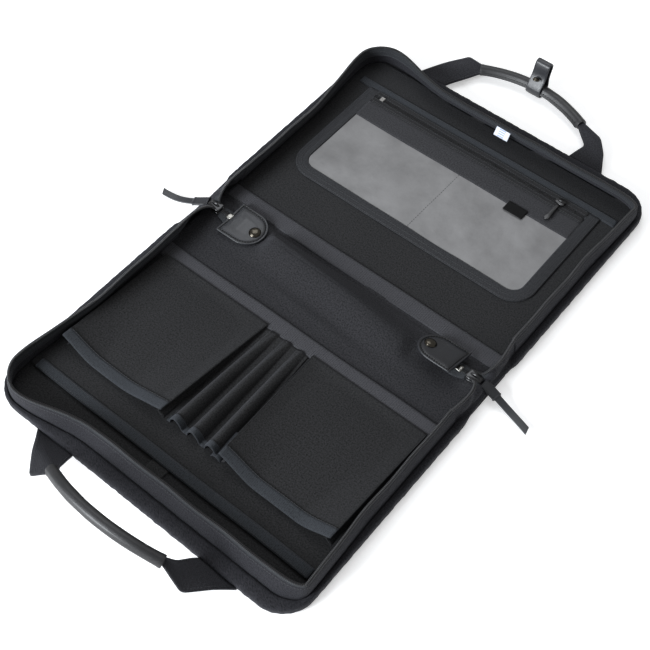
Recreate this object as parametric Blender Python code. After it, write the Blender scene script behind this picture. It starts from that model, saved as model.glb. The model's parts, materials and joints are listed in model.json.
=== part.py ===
"""Zip-around document case, opened flat on a table.

Two shallow fabric trays are joined by a soft spine.  X runs along the spine, Y from
the organiser tray (-Y) to the tray with the window pocket (+Y), Z up.  The origin is
on the table in the middle of the case.  All sizes are in metres.
"""
import bpy
import bmesh
import math
from mathutils import Matrix

# ---- driving dimensions ---------------------------------------------------------------
CASE_WIDTH = 0.378           # along the spine, over the padded edge
HALF_LENGTH = 0.3025         # from the middle of the spine to the outer edge of a tray
RIM_HEIGHT = 0.030           # top of the zip teeth above the table
CORNER_RADIUS = 0.036        # outer corners of both trays
PIVOT_HEIGHT = 0.002         # height of both fold lines
RIM_GAP = 0.001              # left between the two rows of teeth when closed
PANEL_THICKNESS = 0.003      # stiffened base panel
SPINE_THICKNESS = 0.0024
SHEET = 0.0006               # lining and tape
GAP = 0.0003                 # left between pieces that touch
PANEL_INSET = 0.004          # base panel inside the padded edge
BAND_TOP = 0.011             # seam between padded edge and side wall
EDGE_FOOT = 0.0004           # underside of the padded edge above the table
EDGE_PROFILE = ((0.0006, EDGE_FOOT), (0.0, 0.0035), (0.0010, 0.0072))  # inset and height
WALL_THICKNESS = 0.0016
GUSSET_LENGTH = 0.0215       # soft end of the wall, from the fold to the standing wall
GUSSET_LOW = 0.012           # top of the gusset at the fold
TEETH_HEIGHT = 0.0014
TEETH_WIDTH = 0.0034
TAPE_DEPTH = 0.013           # zip tape seen below the teeth
FOOT_INSET = 0.0045          # outer face of the wall at its foot, from the outer edge
RIM_INSET = 0.0065           # the same at the rim, where it stands straightest
SIDE_SAG = (0.0115, 0.0045)  # how far the left and right rims sag in between their ends
SIDE_SAG_RUN = 0.100         # from a corner to where the side rim has sagged
END_SAG = 0.0185             # sag of the rim along the outer end
END_SAG_RUN = 0.085          # from the left corner to where that rim has sagged
END_FACET = 0.0195           # longest flat along an outer end, so the sagging wall stays fair
FLOOR_MARGIN = 0.001         # left between the wall and anything that lies across the floor

SMALL_POCKET_WIDTH = 0.133   # each of the two raised pockets, at its mouth
POCKET_MOUTH_HEIGHT = 0.0225
POCKET_MOUTH_MARGIN = 0.083  # from the mouths to the tray's outer edge
BINDING_WIDTH = 0.012
POCKET_SHEET = 0.0010        # doubled cloth of the raised pockets and pen loops
POCKET_HEAD_RISE = 0.0016    # height of their roofs at the sewn end
POCKET_SWELL = 0.9           # below 1 the roof rises quickest near the sewn end
POCKET_TAPER = 0.008         # each raised pocket is this much wider at its sewn end
POCKET_SIDE_ROOM = 0.006     # between a raised pocket and the side wall
BIG_POCKET_MARGIN = 0.045    # from the flat full width pocket's open edge to the outer edge
PEN_PITCH = 0.0225
PEN_COUNT = 3
PEN_ROOM = 0.00225           # between the pen loops and each raised pocket
PEN_HEIGHT = 0.0125
PEN_HEAD_HEIGHT = 0.0024     # where the loops are sewn flat under the webbing
PEN_HEAD_NARROWING = 0.005   # pitch lost there
PEN_DRIFT = 0.001            # of the mouths to the right
PEN_SEAM = 0.0004            # between neighbouring tubes
HOOK_TAB_X = (-0.014, 0.006)
HOOK_TAB_OUT = (0.002, 0.015)  # past the flat pocket's open edge
HOOK_TAB_THICKNESS = 0.0012

NEAR_STRIP_START = 0.0325    # webbing over the upper ends of the pockets, from the fold
NEAR_STRIP_WIDTH = 0.0185
NEAR_STRIP_THICKNESS = 0.0013
STRIP_THICKNESS = 0.0012     # of the two webbing strips in the window tray
FAR_STRIP_START = 0.0015     # webbing beside the far fold
FAR_STRIP_WIDTH = 0.0170
TOP_STRIP_MARGIN = 0.043     # webbing above the window pocket, from the outer edge
TOP_STRIP_WIDTH = 0.0105
TOP_STRIP_OVERHANG = 0.030   # past the window's sides
WINDOW_MARGIN = 0.097        # from the clear sheet's far edge to the outer edge
WINDOW_LENGTH = 0.0935
WINDOW_SIDE_MARGIN = 0.048   # from the clear sheet to the case's side
WINDOW_FRAME_WIDTH = 0.014
WINDOW_CORNER = 0.028
FRAME_THICKNESS = 0.0014
VINYL_BED = 0.0004           # frame's underside to the clear sheet
VINYL_THICKNESS = 0.0005
BAND_BED = 0.0002            # frame's underside to the nylon band and the zip's tape
BAND_THICKNESS = 0.0010
ZIP_TAPE_THICKNESS = 0.0008
ZIP_TAPE_WIDTH = 0.017
COIL_WIDTH = 0.0044
COIL_THICKNESS = 0.0012
STOP_SIZE = (0.0047, 0.0060, 0.0018)
LABEL_MARGIN = 0.075         # from the black label's left edge to the window's right edge
LABEL_WIDTH = 0.024
LABEL_OUT = (-0.010, 0.0035)  # from the window's far edge
CARE_LABEL_WIDTH = 0.018
CARE_LABEL_DEPTH = (0.016, 0.004)  # its two ends below the top of the wall
POCKET_ZIP_MARGIN = 0.062    # from the pocket's zip to the outer edge
POCKET_ZIP_INSET = 0.013     # coil's end inside the window's side
POCKET_SLIDER_INSET = 0.018  # slider from the end of the coil
POCKET_SLIDER_PLAN = ((-0.0055, 0.0030), (0.0030, 0.0042), (0.0055, 0.0030))  # along, half width
POCKET_SLIDER_HEIGHT = 0.0024
POCKET_PULL_PLAN = ((-GAP, 0.0016), (-0.008, 0.0022), (-0.020, 0.0030))
POCKET_PULL_LENGTH = 0.0225  # to the middle of its round end
POCKET_PULL_THICKNESS = 0.0016
POCKET_PULL_HEIGHT = 0.0012  # its joint above the slider's foot

TAB_LENGTH = 0.047
TAB_WIDTH = 0.044
TAB_TO_SLIDER = 0.011        # from the sewn end of each leather tab to the main slider
TAB_THICKNESS = 0.0022
RIGHT_TAB_TILT = math.radians(22)
CAP_RADIUS = 0.0065
CAP_SETBACK = 0.0115         # from the tab's round end to the middle of the cap
CAP_PROFILE = ((1.0, 0.0), (1.0, 0.0010), (0.90, 0.0019), (0.60, 0.0027))  # share of radius, height
STUD_RADIUS = 0.0045
TAB_CLEARANCE = 0.0017       # under the flat tab, above the spine's lining
ZIP_END_OVERLAP = 0.012      # of each zip tail under its tab
ZIP_END_WIDTH = 0.015
ZIP_END_THICKNESS = 0.0010
SLIDER_MARGIN = 0.013        # from the outer end of a main slider to the case's side
SLIDER_LENGTH = 0.016
SLIDER_HEIGHT = (0.0092, 0.0165)
SLIDER_PLAN = ((0.0, 0.0050), (0.35, 0.0058), (1.0, 0.0036))  # share of length, half width
PULL_LENGTH = 0.060
PULL_WIDTH = 0.0080
PULL_THICKNESS = 0.0020
PULL_ROOT_SHARE = 0.3        # of the length, which is wider and thicker
PULL_ROOT_EXTRA = (0.0030, 0.0010)
PULL_HEIGHT = 0.0138         # of its joint above the table
PULL_REST = 0.0040           # of its tail
PULL_ROOT_GAP = 0.0020       # room for the pull to turn in front of its slider
PULL_DRIFT = 0.012           # how far the tail lies to one side

HANDLE_DROP = 0.045          # root to grip end
HANDLE_BOW = 0.0165          # how far the middle of the grip stands past its ends
GRIP_RADIUS = 0.0065
GRIP_HALF = 0.069
STRAP_ROOT = (0.078, 0.126)  # webbing where it leaves the edge, from the handle's middle
STRAP_THICKNESS = 0.0022
STRAP_ROOT_GAP = 0.0006
HANDLE_GAP = 0.0015          # from the padded edge to the handle's joint
HANDLE_AXIS_HEIGHT = 0.005
NEAR_HANDLE_ANGLE = math.radians(50)
FAR_HANDLE_ANGLE = math.radians(5)
NEAR_HANDLE_X = 0.008
FAR_HANDLE_X = -0.002
KEEPER_WIDTH = 0.017
KEEPER_LENGTH = 0.045
KEEPER_ANGLE = math.radians(70)
KEEPER_X = -0.002            # from the middle of the far handle
KEEPER_SLACK = 0.0005        # round the grip
KEEPER_LEAF = 0.0020
KEEPER_TIP = 0.0050          # outer radius of the loop's end
KEEPER_SLOT_START = 0.012    # past the grip
KEEPER_STUD_RADIUS = 0.0040
KEEPER_STUD_HEIGHT = 0.0016
SPINE_END_MARGIN = 0.003
SPINE_LINING_MARGIN = 0.0035
SPINE_LINING_OVERLAP = 0.004  # under each main slider
SPINE_LINING_TOP = 0.0068
TAB_Y = 0.0005

# ---- derived --------------------------------------------------------------------------
HALF_WIDTH = CASE_WIDTH / 2
FOLD_OUT = RIM_HEIGHT - PIVOT_HEIGHT + RIM_GAP / 2
FOLD_CLEARANCE = 0.001
WALL_TOP = RIM_HEIGHT - TEETH_HEIGHT - GAP
FLOOR = PANEL_THICKNESS + GAP
LINING_TOP = FLOOR + SHEET
HANDLE_OUT = HALF_LENGTH + HANDLE_GAP
WALL_START = FOLD_OUT + GUSSET_LENGTH
POCKET_SPACING = PEN_COUNT * PEN_PITCH + 2 * PEN_ROOM
POCKET_MOUTH_OUT = HALF_LENGTH - POCKET_MOUTH_MARGIN
BIG_POCKET_OUT = HALF_LENGTH - BIG_POCKET_MARGIN
NEAR_STRIP = (FOLD_OUT + NEAR_STRIP_START, FOLD_OUT + NEAR_STRIP_START + NEAR_STRIP_WIDTH)
FAR_STRIP = (FOLD_OUT + FAR_STRIP_START, FOLD_OUT + FAR_STRIP_START + FAR_STRIP_WIDTH)
TOP_STRIP = (HALF_LENGTH - TOP_STRIP_MARGIN - TOP_STRIP_WIDTH, HALF_LENGTH - TOP_STRIP_MARGIN)
WINDOW_HALF_WIDTH = HALF_WIDTH - WINDOW_SIDE_MARGIN
WINDOW_OUT = (HALF_LENGTH - WINDOW_MARGIN - WINDOW_LENGTH, HALF_LENGTH - WINDOW_MARGIN)
POCKET_ZIP_OUT = HALF_LENGTH - POCKET_ZIP_MARGIN
POCKET_ZIP_HALF = WINDOW_HALF_WIDTH - POCKET_ZIP_INSET
POCKET_SLIDER_X = POCKET_ZIP_HALF - POCKET_SLIDER_INSET
SLIDER_X = (HALF_WIDTH - SLIDER_MARGIN - SLIDER_LENGTH, HALF_WIDTH - SLIDER_MARGIN)
TAB_END_X = SLIDER_X[0] - TAB_TO_SLIDER
NEAR = -1
FAR = 1

for old in list(bpy.data.objects):
    bpy.data.objects.remove(old, do_unlink=True)

MATERIALS = {}


def material(name, colour, roughness, metallic=0.0):
    """Return the named material, made on first use."""
    if name not in MATERIALS:
        made = bpy.data.materials.new(name)
        made.use_nodes = True
        shader = made.node_tree.nodes["Principled BSDF"]
        shader.inputs["Base Color"].default_value = (*colour, 1.0)
        shader.inputs["Roughness"].default_value = roughness
        shader.inputs["Metallic"].default_value = metallic
        MATERIALS[name] = made
    return MATERIALS[name]


def nylon(name):
    return material(name, (0.018, 0.018, 0.020), 0.75)


def webbing(name):
    return material(name, (0.030, 0.030, 0.032), 0.70)


def leather(name):
    return material(name, (0.012, 0.011, 0.011), 0.38)


def metal(name):
    return material(name, (0.20, 0.19, 0.18), 0.30, 1.0)


def add_object(name, bm, surface, parent=None):
    """Close a bmesh into an object, with its faces pointing out."""
    bmesh.ops.recalc_face_normals(bm, faces=bm.faces)
    mesh = bpy.data.meshes.new(name)
    bm.to_mesh(mesh)
    bm.free()
    mesh.materials.append(surface)
    made = bpy.data.objects.new(name, mesh)
    bpy.context.collection.objects.link(made)
    if parent is not None:
        made.parent = parent
        made.matrix_parent_inverse = Matrix.Identity(4)
    return made


def empty(name, place, turn=(0.0, 0.0, 0.0), parent=None):
    """A joint or a frame that pieces are parented to."""
    made = bpy.data.objects.new(name, None)
    made.location = place
    made.rotation_euler = turn
    bpy.context.collection.objects.link(made)
    made.parent = parent
    return made


def bevel(target, width, segments=2):
    """Round the edges of a piece."""
    step = target.modifiers.new("rounded_edges", "BEVEL")
    step.width = width
    step.segments = segments
    step.limit_method = "ANGLE"
    step.angle_limit = math.radians(40)
    return target


def cut(target, cutter):
    """Take the cutter out of a piece."""
    cutter.hide_render = True
    cutter.display_type = "WIRE"
    step = target.modifiers.new("cut_" + cutter.name, "BOOLEAN")
    step.operation = "DIFFERENCE"
    step.solver = "EXACT"
    step.object = cutter
    return target


def slab_mesh(outline, low, high):
    """An outline in X and Y, raised from low to high."""
    bm = bmesh.new()
    face = bm.faces.new([bm.verts.new((x, y, low)) for x, y in outline])
    grown = bmesh.ops.extrude_face_region(bm, geom=[face])["geom"]
    lifted = [item for item in grown if isinstance(item, bmesh.types.BMVert)]
    bmesh.ops.translate(bm, verts=lifted, vec=(0, 0, high - low))
    return bm


def loft_mesh(rings):
    """Closed rings of points joined one to the next, with both ends capped."""
    bm = bmesh.new()
    rows = [[bm.verts.new(point) for point in ring] for ring in rings]
    for first, second in zip(rows, rows[1:]):
        for k in range(len(first)):
            after = (k + 1) % len(first)
            bm.faces.new((first[k], first[after], second[after], second[k]))
    bm.faces.new(rows[0])
    bm.faces.new(list(reversed(rows[-1])))
    return bm


def rectangle(x_low, x_high, y_low, y_high):
    return [(x_low, y_low), (x_high, y_low), (x_high, y_high), (x_low, y_high)]


def arc(centre, radius, start, end, steps):
    """Points of an arc, angles in degrees."""
    turns = [math.radians(start + (end - start) * k / steps) for k in range(steps + 1)]
    return [(centre[0] + radius * math.cos(t), centre[1] + radius * math.sin(t)) for t in turns]


# ---- the outline that both trays share -------------------------------------------------
def ease(share):
    """Smooth step from 0 to 1."""
    share = min(1.0, max(0.0, share))
    return share * share * (3.0 - 2.0 * share)


def end_sag(x):
    """How far the rim of the end wall sags in: little at the left corner, then steady."""
    return END_SAG * ease((x + HALF_WIDTH - CORNER_RADIUS) / END_SAG_RUN)


def tray_stations(start):
    """Round three sides of a tray, from the right end of the spine to the left.  A station
    is a point (x, distance from the spine's middle), its outward normal, and how far
    the rim there leans in along each of the two directions.
    """
    corner = HALF_LENGTH - CORNER_RADIUS
    straight = HALF_WIDTH - CORNER_RADIUS
    side_steps, corner_steps = 7, 6
    end_steps = math.ceil(2 * straight / END_FACET)
    stations = []

    def add(x, out, normal, sag_x):
        stations.append(((x, out), normal, (RIM_INSET + sag_x, RIM_INSET + end_sag(x))))

    side_places = [WALL_START + (corner - WALL_START) * k / side_steps for k in range(side_steps)]
    if start < WALL_START:
        side_places.insert(0, start)
    for out in side_places:
        add(HALF_WIDTH, out, (1.0, 0.0), SIDE_SAG[1] * ease((corner - out) / SIDE_SAG_RUN))
    for k in range(corner_steps + 1):
        turn = math.radians(90.0 * k / corner_steps)
        out = (math.cos(turn), math.sin(turn))
        add(straight + CORNER_RADIUS * out[0], corner + CORNER_RADIUS * out[1], out, 0.0)
    for k in range(1, end_steps):
        add(straight * (1.0 - 2.0 * k / end_steps), HALF_LENGTH, (0.0, 1.0), 0.0)
    for k in range(corner_steps + 1):
        turn = math.radians(90.0 * (1.0 - k / corner_steps))
        out = (-math.cos(turn), math.sin(turn))
        add(-straight + CORNER_RADIUS * out[0], corner + CORNER_RADIUS * out[1], out, 0.0)
    for out in reversed(side_places):
        add(-HALF_WIDTH, out, (-1.0, 0.0), SIDE_SAG[0] * ease((corner - out) / SIDE_SAG_RUN))
    return stations


def wall_inset(height, lean):
    """Outer face of the wall at any height, for a rim that leans in by this much."""
    foot = FOOT_INSET + 0.5 * (lean - RIM_INSET)
    return foot + (height - FLOOR) / (WALL_TOP - FLOOR) * (lean - foot)


def inside(station, height, side, behind=0.0, inset=None):
    """A point level with the wall's outer face or behind it, or at a fixed inset."""
    (x, out), normal, lean = station
    in_x, in_y = inset, inset
    if inset is None:
        in_x, in_y = wall_inset(height, lean[0]) + behind, wall_inset(height, lean[1]) + behind
    return (x - normal[0] * in_x, side * (out - normal[1] * in_y), height)


def ring_along(stations, side, profile):
    """Carry a profile round a tray; the profile gives a station's ring of points."""
    return loft_mesh([profile(station, side) for station in stations])


def band_profile(station, side):
    low = PANEL_INSET - GAP
    outer = [inside(station, z, side, inset=i) for i, z in EDGE_PROFILE]
    seam = [inside(station, z, side, behind=-2 * GAP) for z in (BAND_TOP, FLOOR)]
    return outer + seam + [inside(station, z, side, inset=low) for z in (FLOOR, EDGE_FOOT)]


def skin_profile(station, side, heights, behind, thickness):
    """A sheet that follows the wall."""
    front = [inside(station, z, side, behind=behind) for z in heights]
    return front + [inside(station, z, side, behind=behind + thickness) for z in reversed(heights)]


def wall_profile(station, side):
    return skin_profile(station, side, (FLOOR, WALL_TOP - TAPE_DEPTH, WALL_TOP), 0.0, WALL_THICKNESS)


def tape_profile(station, side):
    return skin_profile(station, side, (WALL_TOP - TAPE_DEPTH, WALL_TOP), WALL_THICKNESS + 4 * GAP, SHEET)


def teeth_profile(station, side):
    low = WALL_TOP + GAP
    outer, inner = -GAP, TEETH_WIDTH - GAP
    corners = ((outer, low), (outer, RIM_HEIGHT), (inner, RIM_HEIGHT), (inner, low))
    return [inside(station, z, side, behind=behind) for behind, z in corners]


def gusset(name, side, end, surface):
    """Soft end of the wall, falling from the rim towards the end of the spine."""
    low_out = FOLD_OUT + 2.5 * FOLD_CLEARANCE
    lean = RIM_INSET + SIDE_SAG[(end + 1) // 2]
    steps = 4
    rings = []
    for k in range(steps + 1):
        share = k / steps
        out = low_out + (WALL_START - GAP - low_out) * share
        top = GUSSET_LOW + (WALL_TOP - GUSSET_LOW) * share ** 2
        station = ((end * HALF_WIDTH, out), (end, 0.0), (lean, lean))
        rings.append(skin_profile(station, side, (FLOOR, top), 0.0, WALL_THICKNESS))
    return add_object(name, loft_mesh(rings), surface)


def panel_outline(side, start, behind=0.0, inset=None):
    return [inside(s, FLOOR, side, behind, inset)[:2] for s in tray_stations(start)]


def tray(prefix, side):
    """The pieces that both trays have."""
    first = FOLD_OUT + FOLD_CLEARANCE
    outline = panel_outline(side, first, inset=PANEL_INSET)
    panel = slab_mesh(outline, 0.0, PANEL_THICKNESS)
    add_object(prefix + "_base_panel", panel, nylon(prefix + "_base_nylon"))
    band = ring_along(tray_stations(first), side, band_profile)
    add_object(prefix + "_padded_edge", band, nylon(prefix + "_edge_nylon"))
    wall = ring_along(tray_stations(WALL_START), side, wall_profile)
    add_object(prefix + "_side_wall", wall, nylon(prefix + "_wall_nylon"))
    tape = ring_along(tray_stations(WALL_START), side, tape_profile)
    add_object(prefix + "_zip_tape", tape, webbing(prefix + "_tape"))
    teeth = ring_along(tray_stations(WALL_START), side, teeth_profile)
    add_object(prefix + "_zip_teeth", teeth, material(prefix + "_teeth", (0.02, 0.02, 0.02), 0.45))
    outline = panel_outline(side, first + 2 * GAP, behind=WALL_THICKNESS + 4 * GAP)
    lining = slab_mesh(outline, FLOOR, LINING_TOP)
    add_object(prefix + "_lining", lining, nylon(prefix + "_lining_nylon"))
    gusset(prefix + "_left_gusset", side, -1, nylon(prefix + "_gusset_nylon"))
    gusset(prefix + "_right_gusset", side, 1, nylon(prefix + "_gusset_nylon"))


tray("organiser", NEAR)
tray("window", FAR)

# ---- organiser tray: pockets, pen loops and webbing ------------------------------------
INSIDE_HALF = HALF_WIDTH - wall_inset(FLOOR, RIM_INSET + max(SIDE_SAG)) - WALL_THICKNESS - FLOOR_MARGIN
SHEET_LOW = LINING_TOP + GAP
SHEET_TOP = SHEET_LOW + SHEET
RAISED_LOW = SHEET_TOP + GAP
POCKET_BACK = NEAR_STRIP[1] + GAP


def across(side, out_low, out_high, half=INSIDE_HALF):
    """A rectangle from one side wall to the other."""
    low, high = sorted((side * out_low, side * out_high))
    return rectangle(-half, half, low, high)


big_pocket = slab_mesh(across(NEAR, POCKET_BACK, BIG_POCKET_OUT), SHEET_LOW, SHEET_TOP)
add_object("full_width_pocket", big_pocket, nylon("full_width_pocket_nylon"))
big_edge = across(NEAR, BIG_POCKET_OUT - BINDING_WIDTH, BIG_POCKET_OUT)
big_binding = slab_mesh(big_edge, RAISED_LOW, RAISED_LOW + SHEET)
add_object("full_width_pocket_binding", big_binding, webbing("full_width_binding_tape"))
near_strip = slab_mesh(across(NEAR, *NEAR_STRIP), SHEET_LOW, SHEET_LOW + NEAR_STRIP_THICKNESS)
add_object("organiser_webbing_strip", near_strip, webbing("organiser_strip_webbing"))
patch = rectangle(*HOOK_TAB_X, -BIG_POCKET_OUT - HOOK_TAB_OUT[1], -BIG_POCKET_OUT - HOOK_TAB_OUT[0])
add_object("hook_and_loop_tab", slab_mesh(patch, SHEET_LOW, SHEET_LOW + HOOK_TAB_THICKNESS),
           nylon("hook_and_loop"))

POCKET_INNER_MOUTH = POCKET_SPACING / 2
POCKET_INNER_BACK = POCKET_INNER_MOUTH - POCKET_TAPER
POCKET_OUTER = min(POCKET_INNER_MOUTH + SMALL_POCKET_WIDTH, INSIDE_HALF - POCKET_SIDE_ROOM)
POCKET_BACK_HEIGHT = RAISED_LOW + POCKET_HEAD_RISE


def pocket_top(share):
    """Height of a raised pocket from its closed end to its mouth."""
    return POCKET_BACK_HEIGHT + (POCKET_MOUTH_HEIGHT - POCKET_BACK_HEIGHT) * share ** POCKET_SWELL


def pocket_place(share):
    """Distance of a cross-section from the spine, and its inner edge."""
    out = POCKET_BACK + (POCKET_MOUTH_OUT - POCKET_BACK) * share
    inner = POCKET_INNER_BACK + (POCKET_INNER_MOUTH - POCKET_INNER_BACK) * share
    return out, inner


def raised_pocket(name, end):
    """A roof with two side gussets, open towards the outer edge of the tray."""
    steps = 6
    rings = []
    for k in range(steps + 1):
        out, inner = pocket_place(k / steps)
        top = pocket_top(k / steps)
        t = POCKET_SHEET
        outer = POCKET_OUTER
        profile = [(inner, RAISED_LOW), (inner, top), (outer, top), (outer, RAISED_LOW),
                   (outer - t, RAISED_LOW), (outer - t, top - t), (inner + t, top - t),
                   (inner + t, RAISED_LOW)]
        rings.append([(end * x, -out, z) for x, z in profile])
    return add_object(name, loft_mesh(rings), nylon(name + "_nylon"))


def pocket_binding(name, end):
    """Tape folded over the mouth of a raised pocket."""
    rings = []
    first = 1.0 - (BINDING_WIDTH - 4 * GAP) / (POCKET_MOUTH_OUT - POCKET_BACK)
    for share in (first, 1.0):
        out, inner = pocket_place(share)
        low = pocket_top(share) + GAP
        rings.append([(end * inner, -out, low), (end * inner, -out, low + SHEET),
                      (end * POCKET_OUTER, -out, low + SHEET), (end * POCKET_OUTER, -out, low)])
    return add_object(name, loft_mesh(rings), webbing(name + "_tape"))


for pocket_name, pocket_end in (("left_pocket", -1), ("right_pocket", 1)):
    raised_pocket(pocket_name, pocket_end)
    pocket_binding(pocket_name + "_binding", pocket_end)


def pen_loops():
    """One fabric piece stitched down between tubes, open at the outer end."""
    t = POCKET_SHEET
    steps = 8
    stations = 4
    rings = []
    reach = POCKET_MOUTH_OUT - POCKET_SHEET - POCKET_BACK
    for j in range(stations + 1):
        share = j / stations
        height = PEN_HEAD_HEIGHT + (PEN_HEIGHT - PEN_HEAD_HEIGHT) * math.sin(share * math.pi / 2)
        pitch = PEN_PITCH - PEN_HEAD_NARROWING * (1.0 - share)
        drift = PEN_DRIFT * share
        outer, inner = [], []
        for n in range(PEN_COUNT):
            middle = (n - (PEN_COUNT - 1) / 2) * pitch + drift
            for k in range(steps + 1):
                turn = math.pi * (1.0 - k / steps)
                across_out = middle + 0.5 * (pitch - PEN_SEAM) * math.cos(turn)
                across_in = middle + (0.5 * (pitch - PEN_SEAM) - t) * math.cos(turn)
                outer.append((across_out, RAISED_LOW + t + (height - t) * math.sin(turn)))
                inner.append((across_in, RAISED_LOW + (height - t) * math.sin(turn)))
        ends = [(outer[-1][0], RAISED_LOW), (outer[0][0], RAISED_LOW)]
        profile = outer + ends[:1] + list(reversed(inner)) + ends[1:]
        out = POCKET_BACK + reach * share
        rings.append([(x, -out, z) for x, z in profile])
    return add_object("pen_loops", loft_mesh(rings), nylon("pen_loop_nylon"))


pen_loops()

# ---- spine ----------------------------------------------------------------------------
SPINE_HALF = FOLD_OUT - FOLD_CLEARANCE
SPINE_END = HALF_WIDTH - SPINE_END_MARGIN
LINING_HALF = SPINE_HALF - SPINE_LINING_MARGIN
SPINE_LINING_LOW = SPINE_THICKNESS + GAP
TAB_LOW = SPINE_LINING_TOP + TAB_CLEARANCE

spine_panel = slab_mesh(rectangle(-SPINE_END, SPINE_END, -SPINE_HALF, SPINE_HALF),
                        0.0, SPINE_THICKNESS)
add_object("spine_panel", spine_panel, nylon("spine_nylon"))


def spine_lining():
    """Soft lining over the spine, lightly crowned."""
    steps = 8
    rings = []
    for x in (-SLIDER_X[0] - SPINE_LINING_OVERLAP, SLIDER_X[0] + SPINE_LINING_OVERLAP):
        ring = [(x, LINING_HALF, SPINE_LINING_LOW), (x, -LINING_HALF, SPINE_LINING_LOW)]
        for k in range(1, steps):
            turn = math.pi * (1.0 - k / steps)
            rise = (SPINE_LINING_TOP - SPINE_LINING_LOW) * math.sin(turn) ** 0.6
            ring.append((x, LINING_HALF * math.cos(turn), SPINE_LINING_LOW + rise))
        rings.append(ring)
    return add_object("spine_lining", loft_mesh(rings), nylon("spine_lining_nylon"))


spine_lining()


def zip_end(name, end):
    """Tail of the main zip: tape and sewn teeth, running in under the leather tab."""
    inner, outer = TAB_END_X - ZIP_END_OVERLAP, SLIDER_X[0] - GAP
    low = SPINE_LINING_TOP + GAP
    outline = rectangle(*sorted((end * inner, end * outer)), -ZIP_END_WIDTH / 2, ZIP_END_WIDTH / 2)
    return add_object(name, slab_mesh(outline, low, low + ZIP_END_THICKNESS), webbing(name + "_tape"))


def zip_slider(name, end):
    """Slider of the main zip, standing where the two rows of teeth part."""
    low, high = SLIDER_HEIGHT
    reach = SLIDER_X[1] - SLIDER_X[0]
    outline = [(SLIDER_X[0] + share * reach, -y) for share, y in SLIDER_PLAN]
    outline += [(SLIDER_X[0] + share * reach, y) for share, y in reversed(SLIDER_PLAN)]
    body = slab_mesh([(end * x, y) for x, y in outline], low, high)
    return bevel(add_object(name, body, metal("slider_metal")), 0.0010)


def pull_strap(name, end):
    """Leather strap on a main slider: a wide sewn root, then a narrow tail."""
    root_x = SLIDER_X[1] + PULL_ROOT_GAP
    pivot = empty(name + "_joint", (end * root_x, 0.0, PULL_HEIGHT))
    drop = PULL_HEIGHT - PULL_REST
    steps = 8
    rings = []
    for k in range(steps + 1):
        share = k / steps
        x = end * PULL_LENGTH * share
        y = -PULL_DRIFT * share ** 1.6
        z = -drop * math.sin(min(1.0, 1.35 * share) * math.pi / 2)
        at_root = 1.0 if share <= PULL_ROOT_SHARE else 0.0
        half = 0.5 * (PULL_WIDTH + PULL_ROOT_EXTRA[0] * at_root)
        thick = 0.5 * (PULL_THICKNESS + PULL_ROOT_EXTRA[1] * at_root)
        rings.append([(x, y - half, z - thick), (x, y - half, z + thick),
                      (x, y + half, z + thick), (x, y + half, z - thick)])
    return add_object(name, loft_mesh(rings), leather("pull_leather"), pivot)


def snap_tab(name, end, tilt):
    """Leather tab sewn at its flat end, with a domed snap cap near its round end."""
    radius = TAB_WIDTH / 2
    lift = radius * math.sin(tilt)
    pivot = empty(name + "_joint", (end * TAB_END_X, TAB_Y, TAB_LOW + lift), (-tilt, 0.0, 0.0))
    straight = TAB_LENGTH - radius
    outline = [(0.0, radius), (0.0, -radius)]
    outline += [(-end * (straight + x), y) for x, y in arc((0.0, 0.0), radius, -90, 90, 12)]
    leaf = slab_mesh(outline, 0.0, TAB_THICKNESS)
    bevel(add_object(name, leaf, leather("tab_leather"), pivot), 0.0006)
    cap_x = -end * (TAB_LENGTH - CAP_SETBACK)
    sides = 16
    rings = []
    for share, z in CAP_PROFILE:
        r = share * CAP_RADIUS
        turns = [2 * math.pi * k / sides for k in range(sides)]
        rings.append([(cap_x + r * math.cos(t), r * math.sin(t), TAB_THICKNESS + GAP + z)
                      for t in turns])
    add_object(name.replace("tab", "cap"), loft_mesh(rings), metal("snap_metal"), pivot)
    stud_x = end * TAB_END_X + cap_x
    low = SPINE_LINING_TOP + GAP
    high = TAB_LOW + lift - GAP - STUD_RADIUS * math.tan(tilt)
    points = arc((stud_x, TAB_Y), STUD_RADIUS, 0, 330, 11)
    add_object(name.replace("tab", "stud"), slab_mesh(points, low, high), metal("stud_metal"))


for end_name, end_side, end_tilt in (("left", -1, 0.0), ("right", 1, RIGHT_TAB_TILT)):
    zip_end(end_name + "_zip_end", end_side)
    zip_slider(end_name + "_zip_slider", end_side)
    pull_strap(end_name + "_zip_pull", end_side)
    snap_tab(end_name + "_snap_tab", end_side, end_tilt)

# ---- window tray: window pocket, its zip, labels and webbing ---------------------------
far_strip = slab_mesh(across(FAR, *FAR_STRIP), SHEET_LOW, SHEET_LOW + STRIP_THICKNESS)
add_object("window_webbing_strip", far_strip, webbing("window_strip_webbing"))
top_strip_half = WINDOW_HALF_WIDTH + TOP_STRIP_OVERHANG
top_strip = slab_mesh(across(FAR, *TOP_STRIP, top_strip_half), SHEET_LOW, SHEET_LOW + STRIP_THICKNESS)
add_object("top_webbing_strip", top_strip, webbing("top_strip_webbing"))

FRAME_LOW = SHEET_LOW
FRAME_TOP = FRAME_LOW + FRAME_THICKNESS
FRAME_HALF = WINDOW_HALF_WIDTH + WINDOW_FRAME_WIDTH
FRAME_OUT = WINDOW_OUT[0] - WINDOW_FRAME_WIDTH
ZIP_TAPE_HALF = ZIP_TAPE_WIDTH / 2 - GAP
BAND_LOW = FRAME_LOW + BAND_BED
BAND_OUT = (WINDOW_OUT[1] + GAP, POCKET_ZIP_OUT - ZIP_TAPE_HALF - GAP)


def u_outline(half, low, high, radius, steps):
    """A rectangle whose two corners nearest the spine are round."""
    left = arc((-half + radius, low + radius), radius, 180, 270, steps)
    right = arc((half - radius, low + radius), radius, 270, 360, steps)
    return left + right + [(half, high), (-half, high)]


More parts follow.
